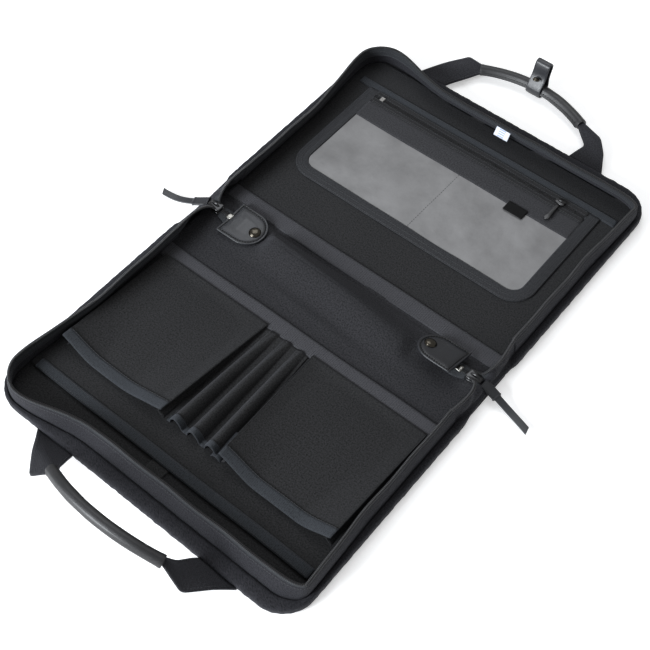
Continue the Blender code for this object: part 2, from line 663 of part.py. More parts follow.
frame_outer = u_outline(FRAME_HALF, FRAME_OUT, TOP_STRIP[0] - GAP, WINDOW_CORNER, 6)
frame = add_object("window_frame_binding", slab_mesh(frame_outer, FRAME_LOW, FRAME_TOP),
                   webbing("window_frame_tape"))
frame_inner = u_outline(WINDOW_HALF_WIDTH, WINDOW_OUT[0], TOP_STRIP[0] + 0.01,
                        WINDOW_CORNER - WINDOW_FRAME_WIDTH, 5)
cut(frame, add_object("frame_cutter", slab_mesh(frame_inner, FRAME_LOW - 0.002, FRAME_TOP + 0.002),
                      webbing("window_frame_tape")))

window_outline = u_outline(WINDOW_HALF_WIDTH - GAP, WINDOW_OUT[0] + GAP, WINDOW_OUT[1],
                           WINDOW_CORNER - WINDOW_FRAME_WIDTH, 5)
VINYL_LOW = FRAME_LOW + VINYL_BED
add_object("window_sheet", slab_mesh(window_outline, VINYL_LOW, VINYL_LOW + VINYL_THICKNESS),
           material("clear_vinyl", (0.26, 0.26, 0.27), 0.25))
inner_half = WINDOW_HALF_WIDTH - GAP
add_object("window_pocket_band",
           slab_mesh(across(FAR, *BAND_OUT, inner_half), BAND_LOW, BAND_LOW + BAND_THICKNESS),
           nylon("window_band_nylon"))
zip_low = POCKET_ZIP_OUT - ZIP_TAPE_HALF
zip_high = POCKET_ZIP_OUT + ZIP_TAPE_HALF
add_object("pocket_zip_tape",
           slab_mesh(across(FAR, zip_low, zip_high, inner_half), BAND_LOW, BAND_LOW + ZIP_TAPE_THICKNESS),
           webbing("pocket_zip_tape"))
COIL_LOW = BAND_LOW + ZIP_TAPE_THICKNESS + GAP
COIL_TOP = COIL_LOW + COIL_THICKNESS
coil_edges = (POCKET_ZIP_OUT - COIL_WIDTH / 2, POCKET_ZIP_OUT + COIL_WIDTH / 2)
coil = slab_mesh(across(FAR, *coil_edges, POCKET_ZIP_HALF), COIL_LOW, COIL_TOP)
add_object("pocket_zip_coil", coil, material("coil_nylon", (0.02, 0.02, 0.02), 0.40))
stop = rectangle(-POCKET_ZIP_HALF - GAP - STOP_SIZE[0], -POCKET_ZIP_HALF - GAP,
                 POCKET_ZIP_OUT - STOP_SIZE[1] / 2, POCKET_ZIP_OUT + STOP_SIZE[1] / 2)
add_object("pocket_zip_stop", slab_mesh(stop, COIL_LOW, COIL_LOW + STOP_SIZE[2]), metal("stop_metal"))
label_x = WINDOW_HALF_WIDTH - LABEL_MARGIN
label_low = BAND_LOW + BAND_THICKNESS + GAP
label = rectangle(label_x, label_x + LABEL_WIDTH, WINDOW_OUT[1] + LABEL_OUT[0], WINDOW_OUT[1] + LABEL_OUT[1])
add_object("pocket_label", slab_mesh(label, label_low, label_low + SHEET),
           material("label_black", (0.008, 0.008, 0.009), 0.6))


def care_label():
    """Small folded tag that hangs from the zip tape of the window tray."""
    low, high = (WALL_TOP - depth for depth in CARE_LABEL_DEPTH)
    rings = []
    for x in (0.0, CARE_LABEL_WIDTH):
        behind = WALL_THICKNESS + SHEET + 6 * GAP
        y_high = HALF_LENGTH - wall_inset(high, RIM_INSET + END_SAG) - behind
        y_low = HALF_LENGTH - wall_inset(low, RIM_INSET + END_SAG) - behind
        rings.append([(x, y_high, high), (x, y_high - SHEET, high),
                      (x, y_low - SHEET, low), (x, y_low, low)])
    return add_object("care_label", loft_mesh(rings), material("label_white", (0.7, 0.75, 0.85), 0.7))


care_label()

SLIDER_LOW = COIL_TOP + GAP
slider_joint = empty("pocket_slider_joint", (POCKET_SLIDER_X, POCKET_ZIP_OUT, SLIDER_LOW))
slider_outline = [(x, -y) for x, y in POCKET_SLIDER_PLAN]
slider_outline += [(x, y) for x, y in reversed(POCKET_SLIDER_PLAN)]
slider_body = slab_mesh(slider_outline, 0.0, POCKET_SLIDER_HEIGHT)
bevel(add_object("pocket_zip_slider", slider_body, metal("slider_metal"), slider_joint), 0.0005)


def pocket_pull():
    """Cast pull that hangs from the pocket slider towards the spine."""
    root_y = POCKET_SLIDER_PLAN[0][0]
    pivot = empty("pocket_pull_joint", (0.0, root_y, POCKET_PULL_HEIGHT), parent=slider_joint)
    outline = [(-half, y) for y, half in POCKET_PULL_PLAN]
    outline += arc((0.0, -POCKET_PULL_LENGTH), POCKET_PULL_PLAN[-1][1], 180, 360, 6)
    outline += [(half, y) for y, half in reversed(POCKET_PULL_PLAN[:-1])]
    half_thick = POCKET_PULL_THICKNESS / 2
    pull = slab_mesh(outline, -half_thick, half_thick)
    return bevel(add_object("pocket_zip_pull", pull, metal("pull_metal"), pivot), 0.0004)


pocket_pull()


# ---- handles --------------------------------------------------------------------------
def handle(prefix, side, middle, angle):
    """Two webbing straps from the tray's edge to a bowed leather grip.  The joint's own
    Y axis points away from the case, and it is turned up by the handle's angle.
    """
    turn = (angle, 0.0, 0.0) if side == FAR else (angle, 0.0, math.pi)
    pivot = empty(prefix + "_handle_joint", (middle, side * HANDLE_OUT, HANDLE_AXIS_HEIGHT), turn)
    half = STRAP_THICKNESS / 2
    grip_end = GRIP_HALF + GRIP_RADIUS * math.sin(math.atan(2 * HANDLE_BOW / GRIP_HALF)) + 2 * GAP
    for end_name, end in (("left", -1), ("right", 1)):
        local = end if side == FAR else -end
        inner, outer = STRAP_ROOT
        outline = [(inner, STRAP_ROOT_GAP), (outer, STRAP_ROOT_GAP), (grip_end + 0.015, HANDLE_DROP + 0.007),
                   (grip_end + 0.006, HANDLE_DROP + GRIP_RADIUS), (grip_end, HANDLE_DROP + 0.004),
                   (grip_end, HANDLE_DROP - GRIP_RADIUS)]
        strap = slab_mesh([(local * x, y) for x, y in outline], -half, half)
        add_object(prefix + "_handle_" + end_name + "_strap", strap, webbing("handle_webbing"), pivot)
    curve = bpy.data.curves.new(prefix + "_grip_line", "CURVE")
    curve.dimensions = "3D"
    curve.bevel_depth = GRIP_RADIUS
    curve.bevel_resolution = 2
    curve.use_fill_caps = True
    steps = 12
    line = curve.splines.new("POLY")
    line.points.add(steps)
    for k in range(steps + 1):
        share = 2.0 * k / steps - 1.0
        out = HANDLE_DROP + HANDLE_BOW * (1.0 - share ** 2)
        line.points[k].co = (GRIP_HALF * share, out, 0.0, 1.0)
    curve.materials.append(leather("grip_leather"))
    grip = bpy.data.objects.new(prefix + "_handle_grip", curve)
    bpy.context.collection.objects.link(grip)
    grip.parent = pivot
    return pivot


handle("near", NEAR, NEAR_HANDLE_X, NEAR_HANDLE_ANGLE)
far_pivot = handle("far", FAR, FAR_HANDLE_X, FAR_HANDLE_ANGLE)


def keeper():
    """Leather loop round the far grip, which wraps the other grip when the case is shut."""
    place = (KEEPER_X, HANDLE_DROP + HANDLE_BOW, 0.0)
    pivot = empty("keeper_joint", place, (KEEPER_ANGLE, 0.0, 0.0), far_pivot)
    ring = GRIP_RADIUS + KEEPER_SLACK
    leaf = KEEPER_LEAF
    tip = KEEPER_TIP
    slope = math.degrees(math.asin((ring + leaf - tip) / KEEPER_LENGTH))
    outline = arc((0.0, 0.0), ring + leaf, 90 - slope, 270 + slope, 12)
    outline += arc((KEEPER_LENGTH - tip, 0.0), tip, 270 + slope, 450 - slope, 8)
    body = slab_mesh(outline, -KEEPER_WIDTH / 2, KEEPER_WIDTH / 2)
    bore = slab_mesh(arc((0.0, 0.0), ring, 0, 345, 23), -KEEPER_WIDTH, KEEPER_WIDTH)
    slot_half = tip - leaf
    slot = arc((ring + leaf + KEEPER_SLOT_START, 0.0), slot_half, 90, 270, 6)
    slot += arc((KEEPER_LENGTH - tip, 0.0), slot_half, 270, 450, 6)
    window = slab_mesh(slot, -KEEPER_WIDTH, KEEPER_WIDTH)
    to_side = Matrix(((0, 0, 1), (1, 0, 0), (0, 1, 0))).to_4x4()
    for shape in (body, bore, window):
        bmesh.ops.transform(shape, matrix=to_side, verts=shape.verts)
    band = add_object("handle_keeper", body, leather("keeper_leather"), pivot)
    cut(band, add_object("keeper_bore_cutter", bore, leather("keeper_leather"), pivot))
    cut(band, add_object("keeper_slot_cutter", window, leather("keeper_leather"), pivot))
    stud = arc((0.0, ring + leaf + KEEPER_STUD_RADIUS + 5 * GAP), KEEPER_STUD_RADIUS, 0, 330, 11)
    cap = add_object("keeper_stud", slab_mesh(stud, ring + leaf, ring + leaf + KEEPER_STUD_HEIGHT),
                     metal("stud_metal"), pivot)
    return bevel(cap, 0.0004)


keeper()
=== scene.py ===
import json
import math
import bmesh
import bpy
import numpy as np
from mathutils import Matrix, Vector


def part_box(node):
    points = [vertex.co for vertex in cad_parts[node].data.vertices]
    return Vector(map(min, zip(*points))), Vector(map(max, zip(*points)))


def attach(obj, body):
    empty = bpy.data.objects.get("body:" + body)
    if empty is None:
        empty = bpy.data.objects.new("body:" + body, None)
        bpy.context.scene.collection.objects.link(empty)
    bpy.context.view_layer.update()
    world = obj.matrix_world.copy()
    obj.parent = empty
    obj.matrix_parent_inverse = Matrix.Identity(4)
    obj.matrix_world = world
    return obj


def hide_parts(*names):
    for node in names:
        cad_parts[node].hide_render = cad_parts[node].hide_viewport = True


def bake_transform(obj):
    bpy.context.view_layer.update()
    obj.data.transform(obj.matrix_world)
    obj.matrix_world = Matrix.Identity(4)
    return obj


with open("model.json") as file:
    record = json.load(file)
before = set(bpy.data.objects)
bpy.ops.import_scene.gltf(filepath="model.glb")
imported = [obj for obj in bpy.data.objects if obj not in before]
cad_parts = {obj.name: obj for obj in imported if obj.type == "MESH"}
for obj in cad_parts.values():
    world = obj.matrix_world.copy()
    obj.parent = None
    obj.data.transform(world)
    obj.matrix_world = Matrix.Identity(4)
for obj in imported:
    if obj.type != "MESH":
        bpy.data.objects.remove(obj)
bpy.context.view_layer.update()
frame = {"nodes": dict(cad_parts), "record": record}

# ---- studio -------------------------------------------------------------------------------
# A white table top under a large soft window light from the near left, with a weak fill from
# above, so that the black cloth keeps its shape and the right-hand walls stay darker.
TABLE_REACH, TABLE_DROP = 6.0, 0.0004
TABLE_WHITE, TABLE_GLOW = 0.9, 0.38
ROOM_LIGHT = 0.42
VIEW_TURN, VIEW_RISE = math.radians(39.34), math.radians(56.0)

table_mesh = bpy.data.meshes.new("table_top")
table_mesh.from_pydata([(x * TABLE_REACH, y * TABLE_REACH, -TABLE_DROP)
                        for x, y in ((-1, -1), (1, -1), (1, 1), (-1, 1))], [], [(0, 1, 2, 3)])
table_top = bpy.data.objects.new("table_top", table_mesh)
bpy.context.collection.objects.link(table_top)
table_look = bpy.data.materials.new("white_table")
table_look.use_nodes = True
table_shader = table_look.node_tree.nodes["Principled BSDF"].inputs
table_shader["Base Color"].default_value = (TABLE_WHITE, TABLE_WHITE, TABLE_WHITE, 1.0)
table_shader["Roughness"].default_value = 0.9
table_shader["Emission Color"].default_value = (1.0, 1.0, 1.0, 1.0)
table_shader["Emission Strength"].default_value = TABLE_GLOW
table_mesh.materials.append(table_look)


def area_light(name, place, aim, size, power, colour):
    """A square lamp at a place, turned to face a point."""
    data = bpy.data.lights.new(name, "AREA")
    data.size = size
    data.energy = power
    data.color = colour
    lamp = bpy.data.objects.new(name, data)
    lamp.location = place
    lamp.rotation_euler = (Vector(aim) - Vector(place)).to_track_quat("-Z", "Y").to_euler()
    bpy.context.collection.objects.link(lamp)


area_light("window_light", (-0.9, -2.3, 1.15), (0.0, 0.0, 0.0), 1.1, 120.0, (0.92, 0.96, 1.0))
area_light("ceiling_light", (-0.9, 0.9, 2.1), (0.0, 0.0, 0.0), 1.6, 22.0, (0.94, 0.97, 1.0))
world = bpy.context.scene.world or bpy.data.worlds.new("room")
bpy.context.scene.world = world
world.use_nodes = True
world.node_tree.nodes["Background"].inputs["Color"].default_value = (1.0, 1.0, 1.0, 1.0)
world.node_tree.nodes["Background"].inputs["Strength"].default_value = ROOM_LIGHT
bpy.context.scene.view_settings.view_transform = "Standard"

camera_data = bpy.data.cameras.new("camera")
camera_data.lens = 66.74
camera = bpy.data.objects.new("camera", camera_data)
camera.location = (0.4406, -0.5599, 1.0019)
view_back = Vector((math.sin(VIEW_TURN) * math.cos(VIEW_RISE),
                    -math.cos(VIEW_TURN) * math.cos(VIEW_RISE), math.sin(VIEW_RISE)))
camera.rotation_euler = (-view_back).to_track_quat("-Z", "Y").to_euler()
bpy.context.collection.objects.link(camera)
bpy.context.scene.camera = camera

# ---- cloth of the case --------------------------------------------------------------------
# Plain-woven black nylon, laminated to a thin foam.  Threads of 0.55 mm cross over and under,
# and each bolt of it has faint lighter patches where the weave has been rubbed.


def feed(tree, socket, value):
    """Set a socket, or link another node's output to it."""
    if isinstance(value, bpy.types.NodeSocket):
        tree.links.new(value, socket)
    else:
        socket.default_value = value


def calc(tree, operation, *values):
    """One Math node; returns its output."""
    node = tree.nodes.new("ShaderNodeMath")
    node.operation = operation
    for socket, value in zip(node.inputs, values):
        feed(tree, socket, value)
    return node.outputs[0]


def group_node(name, inputs, outputs):
    """An empty shader group with its sockets; returns tree, input node and output node."""
    tree = bpy.data.node_groups.new(name, "ShaderNodeTree")
    for label, kind, value in inputs:
        socket = tree.interface.new_socket(name=label, in_out="INPUT", socket_type=kind)
        if value is not None:
            socket.default_value = value
    for label, kind in outputs:
        tree.interface.new_socket(name=label, in_out="OUTPUT", socket_type=kind)
    return tree, tree.nodes.new("NodeGroupInput"), tree.nodes.new("NodeGroupOutput")


def noise(tree, vector, scale, detail, rough=0.5):
    """A noise texture's value."""
    node = tree.nodes.new("ShaderNodeTexNoise")
    feed(tree, node.inputs["Vector"], vector)
    feed(tree, node.inputs["Scale"], scale)
    node.inputs["Detail"].default_value = detail
    node.inputs["Roughness"].default_value = rough
    return node.outputs["Fac"]


def weave_group():
    """Height is |sin| of each thread, and the product of both sines says which is on top.  The second output
    is that height times a slub noise: painted shade, lighter on the thread crowns and darker in the hollows.
    """
    tree, given, result = group_node(
        "plain_weave",
        [("Vector", "NodeSocketVector", None), ("Pitch", "NodeSocketFloat", 0.00055),
         ("Weft Pitch", "NodeSocketFloat", 0.00055)],
        [("Height", "NodeSocketFloat"), ("Crown Shading", "NodeSocketFloat")])
    split = tree.nodes.new("ShaderNodeSeparateXYZ")
    feed(tree, split.inputs[0], given.outputs["Vector"])
    warp = calc(tree, "SINE", calc(tree, "MULTIPLY", calc(
        tree, "DIVIDE", split.outputs["X"], given.outputs["Pitch"]), math.pi))
    weft = calc(tree, "SINE", calc(tree, "MULTIPLY", calc(
        tree, "DIVIDE", split.outputs["Y"], given.outputs["Weft Pitch"]), math.pi))
    over = calc(tree, "MULTIPLY_ADD", calc(tree, "MULTIPLY", warp, weft), 3.0, 0.5)
    over = calc(tree, "MINIMUM", calc(tree, "MAXIMUM", over, 0.0), 1.0)
    under = calc(tree, "SUBTRACT", 1.0, over)
    height = calc(tree, "ADD", calc(tree, "MULTIPLY", over, calc(tree, "ABSOLUTE", warp)),
                  calc(tree, "MULTIPLY", under, calc(tree, "ABSOLUTE", weft)))
    slub = noise(tree, given.outputs["Vector"], 900.0, 2.0)
    feed(tree, result.inputs["Height"], height)
    feed(tree, result.inputs["Crown Shading"], calc(tree, "MULTIPLY", height, slub))
    return tree


def rub_group():
    """Slow patches and small specks of lint, each from its own noise."""
    tree, given, result = group_node(
        "rub_and_lint",
        [("Vector", "NodeSocketVector", None), ("Patch Size", "NodeSocketFloat", 0.09)],
        [("Patches", "NodeSocketFloat"), ("Lint", "NodeSocketFloat")])
    scale = calc(tree, "DIVIDE", 1.0, given.outputs["Patch Size"])
    patches = noise(tree, given.outputs["Vector"], scale, 3.0)
    specks = noise(tree, given.outputs["Vector"], 1100.0, 0.0)
    lint = calc(tree, "MINIMUM", calc(tree, "MAXIMUM", calc(
        tree, "MULTIPLY", calc(tree, "SUBTRACT", specks, 0.80), 14.0), 0.0), 1.0)
    feed(tree, result.inputs["Patches"], patches)
    feed(tree, result.inputs["Lint"], lint)
    return tree


WEAVE, RUB = weave_group(), rub_group()


def use_group(tree, group, **values):
    """Place a group in a material; spaces in socket names are given as underscores."""
    node = tree.nodes.new("ShaderNodeGroup")
    node.node_tree = group
    for label, value in values.items():
        feed(tree, node.inputs[label.replace("_", " ")], value)
    return node


def mix_colour(tree, share, first, second):
    """Mix two colours by a share."""
    node = tree.nodes.new("ShaderNodeMix")
    node.data_type = "RGBA"
    feed(tree, node.inputs[0], share)
    feed(tree, node.inputs[6], first)
    feed(tree, node.inputs[7], second)
    return node.outputs[2]


def start_material(name, on_cad):
    """A material with a Principled shader, and where its patterns lie: the piece's own
    metres along the cloth, or Object coordinates on a carried part."""
    made = bpy.data.materials.new(name)
    made.use_nodes = True
    tree = made.node_tree
    shader = tree.nodes["Principled BSDF"]
    if on_cad:
        place = tree.nodes.new("ShaderNodeTexCoord").outputs["Object"]
    else:
        cloth_map = tree.nodes.new("ShaderNodeUVMap")
        cloth_map.uv_map = "metres"
        place = cloth_map.outputs["UV"]
    return made, tree, shader, place


def add_bump(tree, shader, height, depth):
    """Raise the surface by a depth in metres where the height, from 0 to 1, is full."""
    bump = tree.nodes.new("ShaderNodeBump")
    bump.inputs["Distance"].default_value = depth
    feed(tree, bump.inputs["Height"], height)
    feed(tree, shader.inputs["Normal"], bump.outputs["Normal"])


def cloth(name, dark, light, pitch=0.0007, weft=None, depth=0.00016, rough=0.8, sheen=0.06,
          on_cad=False, patch=0.09, rib=1.0):
    """Woven cloth: threads from the weave group, with painted shade that lightens their crowns and darkens the
    hollows; tone from rubbing, slubs and lint.
    """
    made, tree, shader, place = start_material(name, on_cad)
    threads = use_group(tree, WEAVE, Vector=place, Pitch=pitch, Weft_Pitch=weft or pitch)
    worn = use_group(tree, RUB, Vector=place, Patch_Size=patch)
    slubs = calc(tree, "MULTIPLY_ADD", noise(tree, place, 620.0, 2.0, 0.7), 2.6, -1.12)
    # Painted shade: the weave's second output, scaled by rib, lightens thread tops and darkens hollows in the
    # base colour; the rubbed patches and slubs are random tone.
    share = calc(tree, "ADD", calc(tree, "MULTIPLY", threads.outputs["Crown Shading"], rib),
                 calc(tree, "MULTIPLY_ADD", worn.outputs["Patches"], 0.30, slubs))
    share = calc(tree, "MINIMUM", calc(tree, "MAXIMUM", share, 0.0), 1.0)
    tone = mix_colour(tree, share, (*dark, 1.0), (*light, 1.0))
    pale = tuple(min(1.0, 3.0 * c + 0.02) for c in light)
    lint = calc(tree, "MULTIPLY", worn.outputs["Lint"], 0.35)
    feed(tree, shader.inputs["Base Color"], mix_colour(tree, lint, tone, (*pale, 1.0)))
    feed(tree, shader.inputs["Roughness"],
         calc(tree, "MULTIPLY_ADD", worn.outputs["Patches"], 0.16, rough - 0.08))
    shader.inputs["Sheen Weight"].default_value = sheen
    shader.inputs["Sheen Roughness"].default_value = 0.45
    shader.inputs["Sheen Tint"].default_value = (0.85, 0.88, 1.0, 1.0)
    shader.inputs["Specular IOR Level"].default_value = 0.16
    add_bump(tree, shader, threads.outputs["Height"], depth)
    return made


SHELL_CLOTH = cloth("shell_cloth", (0.002, 0.002, 0.003), (0.028, 0.028, 0.033))
BASE_CLOTH = cloth("base_cloth", (0.005, 0.005, 0.006), (0.022, 0.022, 0.024), on_cad=True)


def surface(name, points, look, closed=False, facing=None):
    """A grid of points, rows by columns, made a mesh with a map in metres.  closed joins the
    last column to the first and caps both ends; facing turns an open sheet's normals."""
    points = np.asarray(points, float)
    rows, cols = points.shape[:2]
    wide = cols if closed else cols - 1
    r, c = np.arange(rows - 1)[:, None], np.arange(wide)[None, :]
    after = (c + 1) % cols
    quads = np.stack([r * cols + c, r * cols + after, (r + 1) * cols + after, (r + 1) * cols + c], -1)
    faces = quads.reshape(-1, 4).tolist()
    ring = np.concatenate([points, points[:, :1]], 1) if closed else points
    u = np.cumsum(np.linalg.norm(np.diff(ring, axis=1, prepend=ring[:, :1]), axis=2), axis=1)
    v = np.cumsum(np.linalg.norm(np.diff(ring, axis=0, prepend=ring[:1]), axis=2), axis=0)
    u = u - u.mean(axis=1, keepdims=True)
    corners = [(r, c), (r, c + 1), (r + 1, c + 1), (r + 1, c)]
    flat = np.stack([np.stack([u[i, j], v[i, j]], -1) for i, j in corners], 2).reshape(-1, 2)
    if closed:
        faces += [list(range(cols)), list(range((rows - 1) * cols, rows * cols))]
        caps = [np.stack([points[k, :, 0], points[k, :, 2]], -1) for k in (0, rows - 1)]
        flat = np.concatenate([flat] + caps)
    mesh = bpy.data.meshes.new(name)
    mesh.from_pydata(points.reshape(-1, 3).tolist(), [], faces)
    layer = mesh.uv_layers.new(name="metres")
    layer.data.foreach_set("uv", flat.astype(np.float32).ravel())
    mesh.materials.append(look)
    mesh.shade_smooth()
    if closed:
        work = bmesh.new()
        work.from_mesh(mesh)
        bmesh.ops.recalc_face_normals(work, faces=work.faces)
        work.to_mesh(mesh)
        work.free()
        mesh.set_sharp_from_angle(angle=math.radians(60))
    elif facing is not None:
        normals = np.zeros(len(mesh.polygons) * 3, np.float32)
        mesh.polygons.foreach_get("normal", normals)
        if normals.reshape(-1, 3).mean(axis=0) @ np.array(facing) < 0:
            mesh.flip_normals()
    piece = bpy.data.objects.new(name, mesh)
    bpy.context.collection.objects.link(piece)
    return piece


def thicken(piece, thickness, offset=-1.0):
    """Give an open sheet its thickness, away from its face."""
    step = piece.modifiers.new("thickness", "SOLIDIFY")
    step.thickness = thickness
    step.offset = offset
    step.use_even_offset = False
    return piece


def fix(piece, body, slot_name, *nodes):
    """The piece rides on a body and stands for its plain solids, which are hidden; its finish slot is not
    used.
    """
    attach(piece, body)
    if nodes:
        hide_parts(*nodes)
    return piece


def ease(share):
    """Smooth step from 0 to 1, on arrays."""
    share = np.clip(share, 0.0, 1.0)
    return share * share * (3.0 - 2.0 * share)


def squared(values, power):
    """A sine or cosine squared off: its sign kept, and its size raised to a power below 1."""
    return np.sign(values) * np.abs(values) ** power


def unit(vectors):
    """Each vector made one long."""
    return vectors / np.linalg.norm(vectors, axis=-1, keepdims=True)


def dress(node, look):
    """Give a plain solid that stays in view its own material."""
    frame["nodes"][node].data.materials.clear()
    frame["nodes"][node].data.materials.append(look)


def ripple(along, seed, waves=5, shortest=0.03):
    """A sum of sines of random phase, about 1 high, for cloth that isn't dead straight."""
    draw = np.random.default_rng(seed)
    total = 0.0
    for _ in range(waves):
        length = shortest * (1.0 + 4.0 * draw.random())
        total = total + np.sin(2 * math.pi * (along / length + draw.random()))
    return total / waves ** 0.5


# ---- tray walls and padded edges ----------------------------------------------------------
# Each tray is a U-shaped wall of foam-backed nylon sewn to a stiff base, with a padded edge
# below the seam.  The rim isn't stiffened, so it leans in, most of all along the outer end.
edge_low, edge_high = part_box("window_padded_edge")
HALF_WIDTH = edge_high.x
HALF_LENGTH = edge_high.y
RIM_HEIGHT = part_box("window_zip_teeth")[1].z
WALL_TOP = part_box("window_side_wall")[1].z
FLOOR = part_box("window_side_wall")[0].z
FOLD_OUT = -frame["record"]["behaviour"]["joints"][0]["pos_m"][1]
EDGE_START = edge_low.y
WALL_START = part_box("window_side_wall")[0].y
CORNER_RADIUS = 0.036
FOOT_INSET, RIM_INSET = 0.0045, 0.0065
SIDE_SAG, SIDE_SAG_RUN = (0.0115, 0.0045), 0.100
END_SAG, END_SAG_RUN = 0.0185, 0.085
BAND_TOP = 0.011
WALL_THICKNESS = 0.0016
TAPE_DEPTH = 0.013
EDGE_MIDDLE, EDGE_HALF, EDGE_SQUARENESS = 0.0056, 0.0053, 0.62
EDGE_PUCKER, EDGE_TAPER_RUN, EDGE_END_SHARE = 0.00022, 0.016, 0.12
SEAM_OVERLAP = 0.0012
WALL_BELLY = 0.0009
CLOTH_GAP = 0.0004


def wall_foot(lean):
    """How far the wall's foot stands in from the outline, for a rim leaning in so far."""
    return FOOT_INSET + 0.5 * (lean - RIM_INSET)


def tray_path(start, side_steps=56, corner_steps=18, end_steps=96):
    """Points round three sides of a tray from the right of the spine to the left: two
    straight sides and an end, joined by quarter circles.  Gives places and outward normals as
    (x, out), how far the rim leans in each way, and the distance along."""
    deep, straight = HALF_LENGTH - CORNER_RADIUS, HALF_WIDTH - CORNER_RADIUS
    outs = np.linspace(start, deep, side_steps, endpoint=False)
    turns = np.linspace(0.0, math.pi / 2, corner_steps)
    middle = np.linspace(straight, -straight, end_steps + 1)[1:-1]
    one = np.ones_like
    right = np.stack([HALF_WIDTH * one(outs), outs, one(outs), 0 * outs], 1)
    first = np.stack([straight + CORNER_RADIUS * np.cos(turns), deep + CORNER_RADIUS * np.sin(turns),
                      np.cos(turns), np.sin(turns)], 1)
    end = np.stack([middle, HALF_LENGTH * one(middle), 0 * middle, one(middle)], 1)
    mirror = np.array([-1.0, 1.0, -1.0, 1.0])
    every = np.concatenate([right, first, end, first[::-1] * mirror, right[::-1] * mirror])
    place, normal = every[:, :2], every[:, 2:]
    sag_x = np.where(place[:, 0] > 0, SIDE_SAG[1], SIDE_SAG[0]) * ease((deep - place[:, 1]) / SIDE_SAG_RUN)
    sag_y = END_SAG * ease((place[:, 0] + straight) / END_SAG_RUN)
    lean = RIM_INSET + np.stack([sag_x, sag_y], 1)
    along = np.concatenate([[0], np.cumsum(np.linalg.norm(np.diff(place, axis=0), axis=1))])
    return place, normal, lean, along


def wall_points(path, side, behind, heights, seed=3, slack=0.0005):
    """Carry a profile round a tray.  The wall's outer face goes straight from its foot to the
    leaning rim; behind is the depth inside that face.  A ripple grows towards the rim."""
    place, normal, lean, along = path
    behind, heights = np.broadcast_arrays(np.asarray(behind, float), np.asarray(heights, float))
    if heights.ndim == 1:
        behind, heights = behind[None, :], heights[None, :]
    rise = (heights - FLOOR) / (WALL_TOP - FLOOR)
    foot = wall_foot(lean)
    wave = slack * ripple(along, seed, shortest=0.05)[:, None] * np.clip(rise, 0, 1) ** 1.5
    inset_x = foot[:, :1] + rise * (lean[:, :1] - foot[:, :1]) + behind + wave
    inset_y = foot[:, 1:] + rise * (lean[:, 1:] - foot[:, 1:]) + behind + wave
    x = place[:, :1] - normal[:, :1] * inset_x
    out = place[:, 1:] - normal[:, 1:] * inset_y
    return np.stack([x, side * out, np.broadcast_to(heights, x.shape)], -1)


def padded_edge(prefix, side):
    """Foam in a fold of cloth, between table and seam: a superellipse whose inner side lies
    against the leaning wall.  It's drawn in at both seams, with fine puckers across it, and
    narrows to nothing where it meets the spine."""
    place, normal, lean, along = tray_path(EDGE_START, 70, 26, 150)
    turn = np.linspace(0, 2 * math.pi, 26, endpoint=False)
    foot = wall_foot(lean)
    round_in, round_up = squared(np.cos(turn), EDGE_SQUARENESS), squared(np.sin(turn), EDGE_SQUARENESS)
    near_end = ease(np.minimum(along, along[-1] - along) / EDGE_TAPER_RUN)[:, None]
    ends = EDGE_END_SHARE + (1 - EDGE_END_SHARE) * near_end
    uneven = 0.0002 * ripple(along, 12, 7, 0.008)[:, None]
    heights = EDGE_MIDDLE + (uneven + EDGE_HALF * round_up[None]) * ends
    rise = (heights - FLOOR) / (WALL_TOP - FLOOR)
    pucker = EDGE_PUCKER * ripple(along, 11, 7, 0.006)[:, None] * np.clip(np.cos(turn), 0, 1)[None, :]
    share = 0.5 * (1 - round_in[None] * (0.35 + 0.65 * ends)) + 0.03
    inset_x = (foot[:, :1] + rise * (lean[:, :1] - foot[:, :1]) - CLOTH_GAP) * share - pucker
    inset_y = (foot[:, 1:] + rise * (lean[:, 1:] - foot[:, 1:]) - CLOTH_GAP) * share - pucker
    x = place[:, :1] - normal[:, :1] * np.maximum(inset_x, 0)
    out = place[:, 1:] - normal[:, 1:] * np.maximum(inset_y, 0)
    points = np.stack([x, side * out, heights], -1)
    piece = surface(prefix + "_edge_padding", points, SHELL_CLOTH, closed=True)
    fix(piece, prefix + "_tray", "shell_nylon", prefix + "_padded_edge")


def side_wall(prefix, side):
    """Outer and inner cloth with foam between, turned over at the rim under the zip."""
    up = np.linspace(0, 1, 12)
    outer_z = BAND_TOP - SEAM_OVERLAP + (WALL_TOP - BAND_TOP + SEAM_OVERLAP) * up
    belly = -WALL_BELLY * np.sin(math.pi * np.clip(up * 1.1 - 0.05, 0, 1)) ** 0.8
    inner_z = WALL_TOP - (WALL_TOP - FLOOR) * np.linspace(0, 1, 10)
    heights = np.concatenate([outer_z, [WALL_TOP + 0.0002], inner_z[1:], [FLOOR]])
    behind = np.concatenate([belly, [0.0008], np.full(9, WALL_THICKNESS), [-0.0002]])
    points = wall_points(tray_path(WALL_START), side, behind, heights)
    piece = surface(prefix + "_wall_cloth", points, SHELL_CLOTH, closed=True)
    fix(piece, prefix + "_tray", "shell_nylon", prefix + "_side_wall")


SIDES = (("organiser", -1), ("window", 1))
for tray_name, tray_side in SIDES:
    padded_edge(tray_name, tray_side)
    side_wall(tray_name, tray_side)
    dress(tray_name + "_base_panel", BASE_CLOTH)

# ---- main zip: tape and teeth -------------------------------------------------------------
# A coil zip runs round both rims.  Its knitted tape shows as a paler band below the teeth
# inside, sewn with two rows of thread; the coil stands on the rim as close black beads.
TAPE_CLOTH = cloth("zip_tape_cloth", (0.009, 0.010, 0.011), (0.036, 0.039, 0.043), 0.0014, 0.0008,
                   0.00016, 0.72, 0.08)


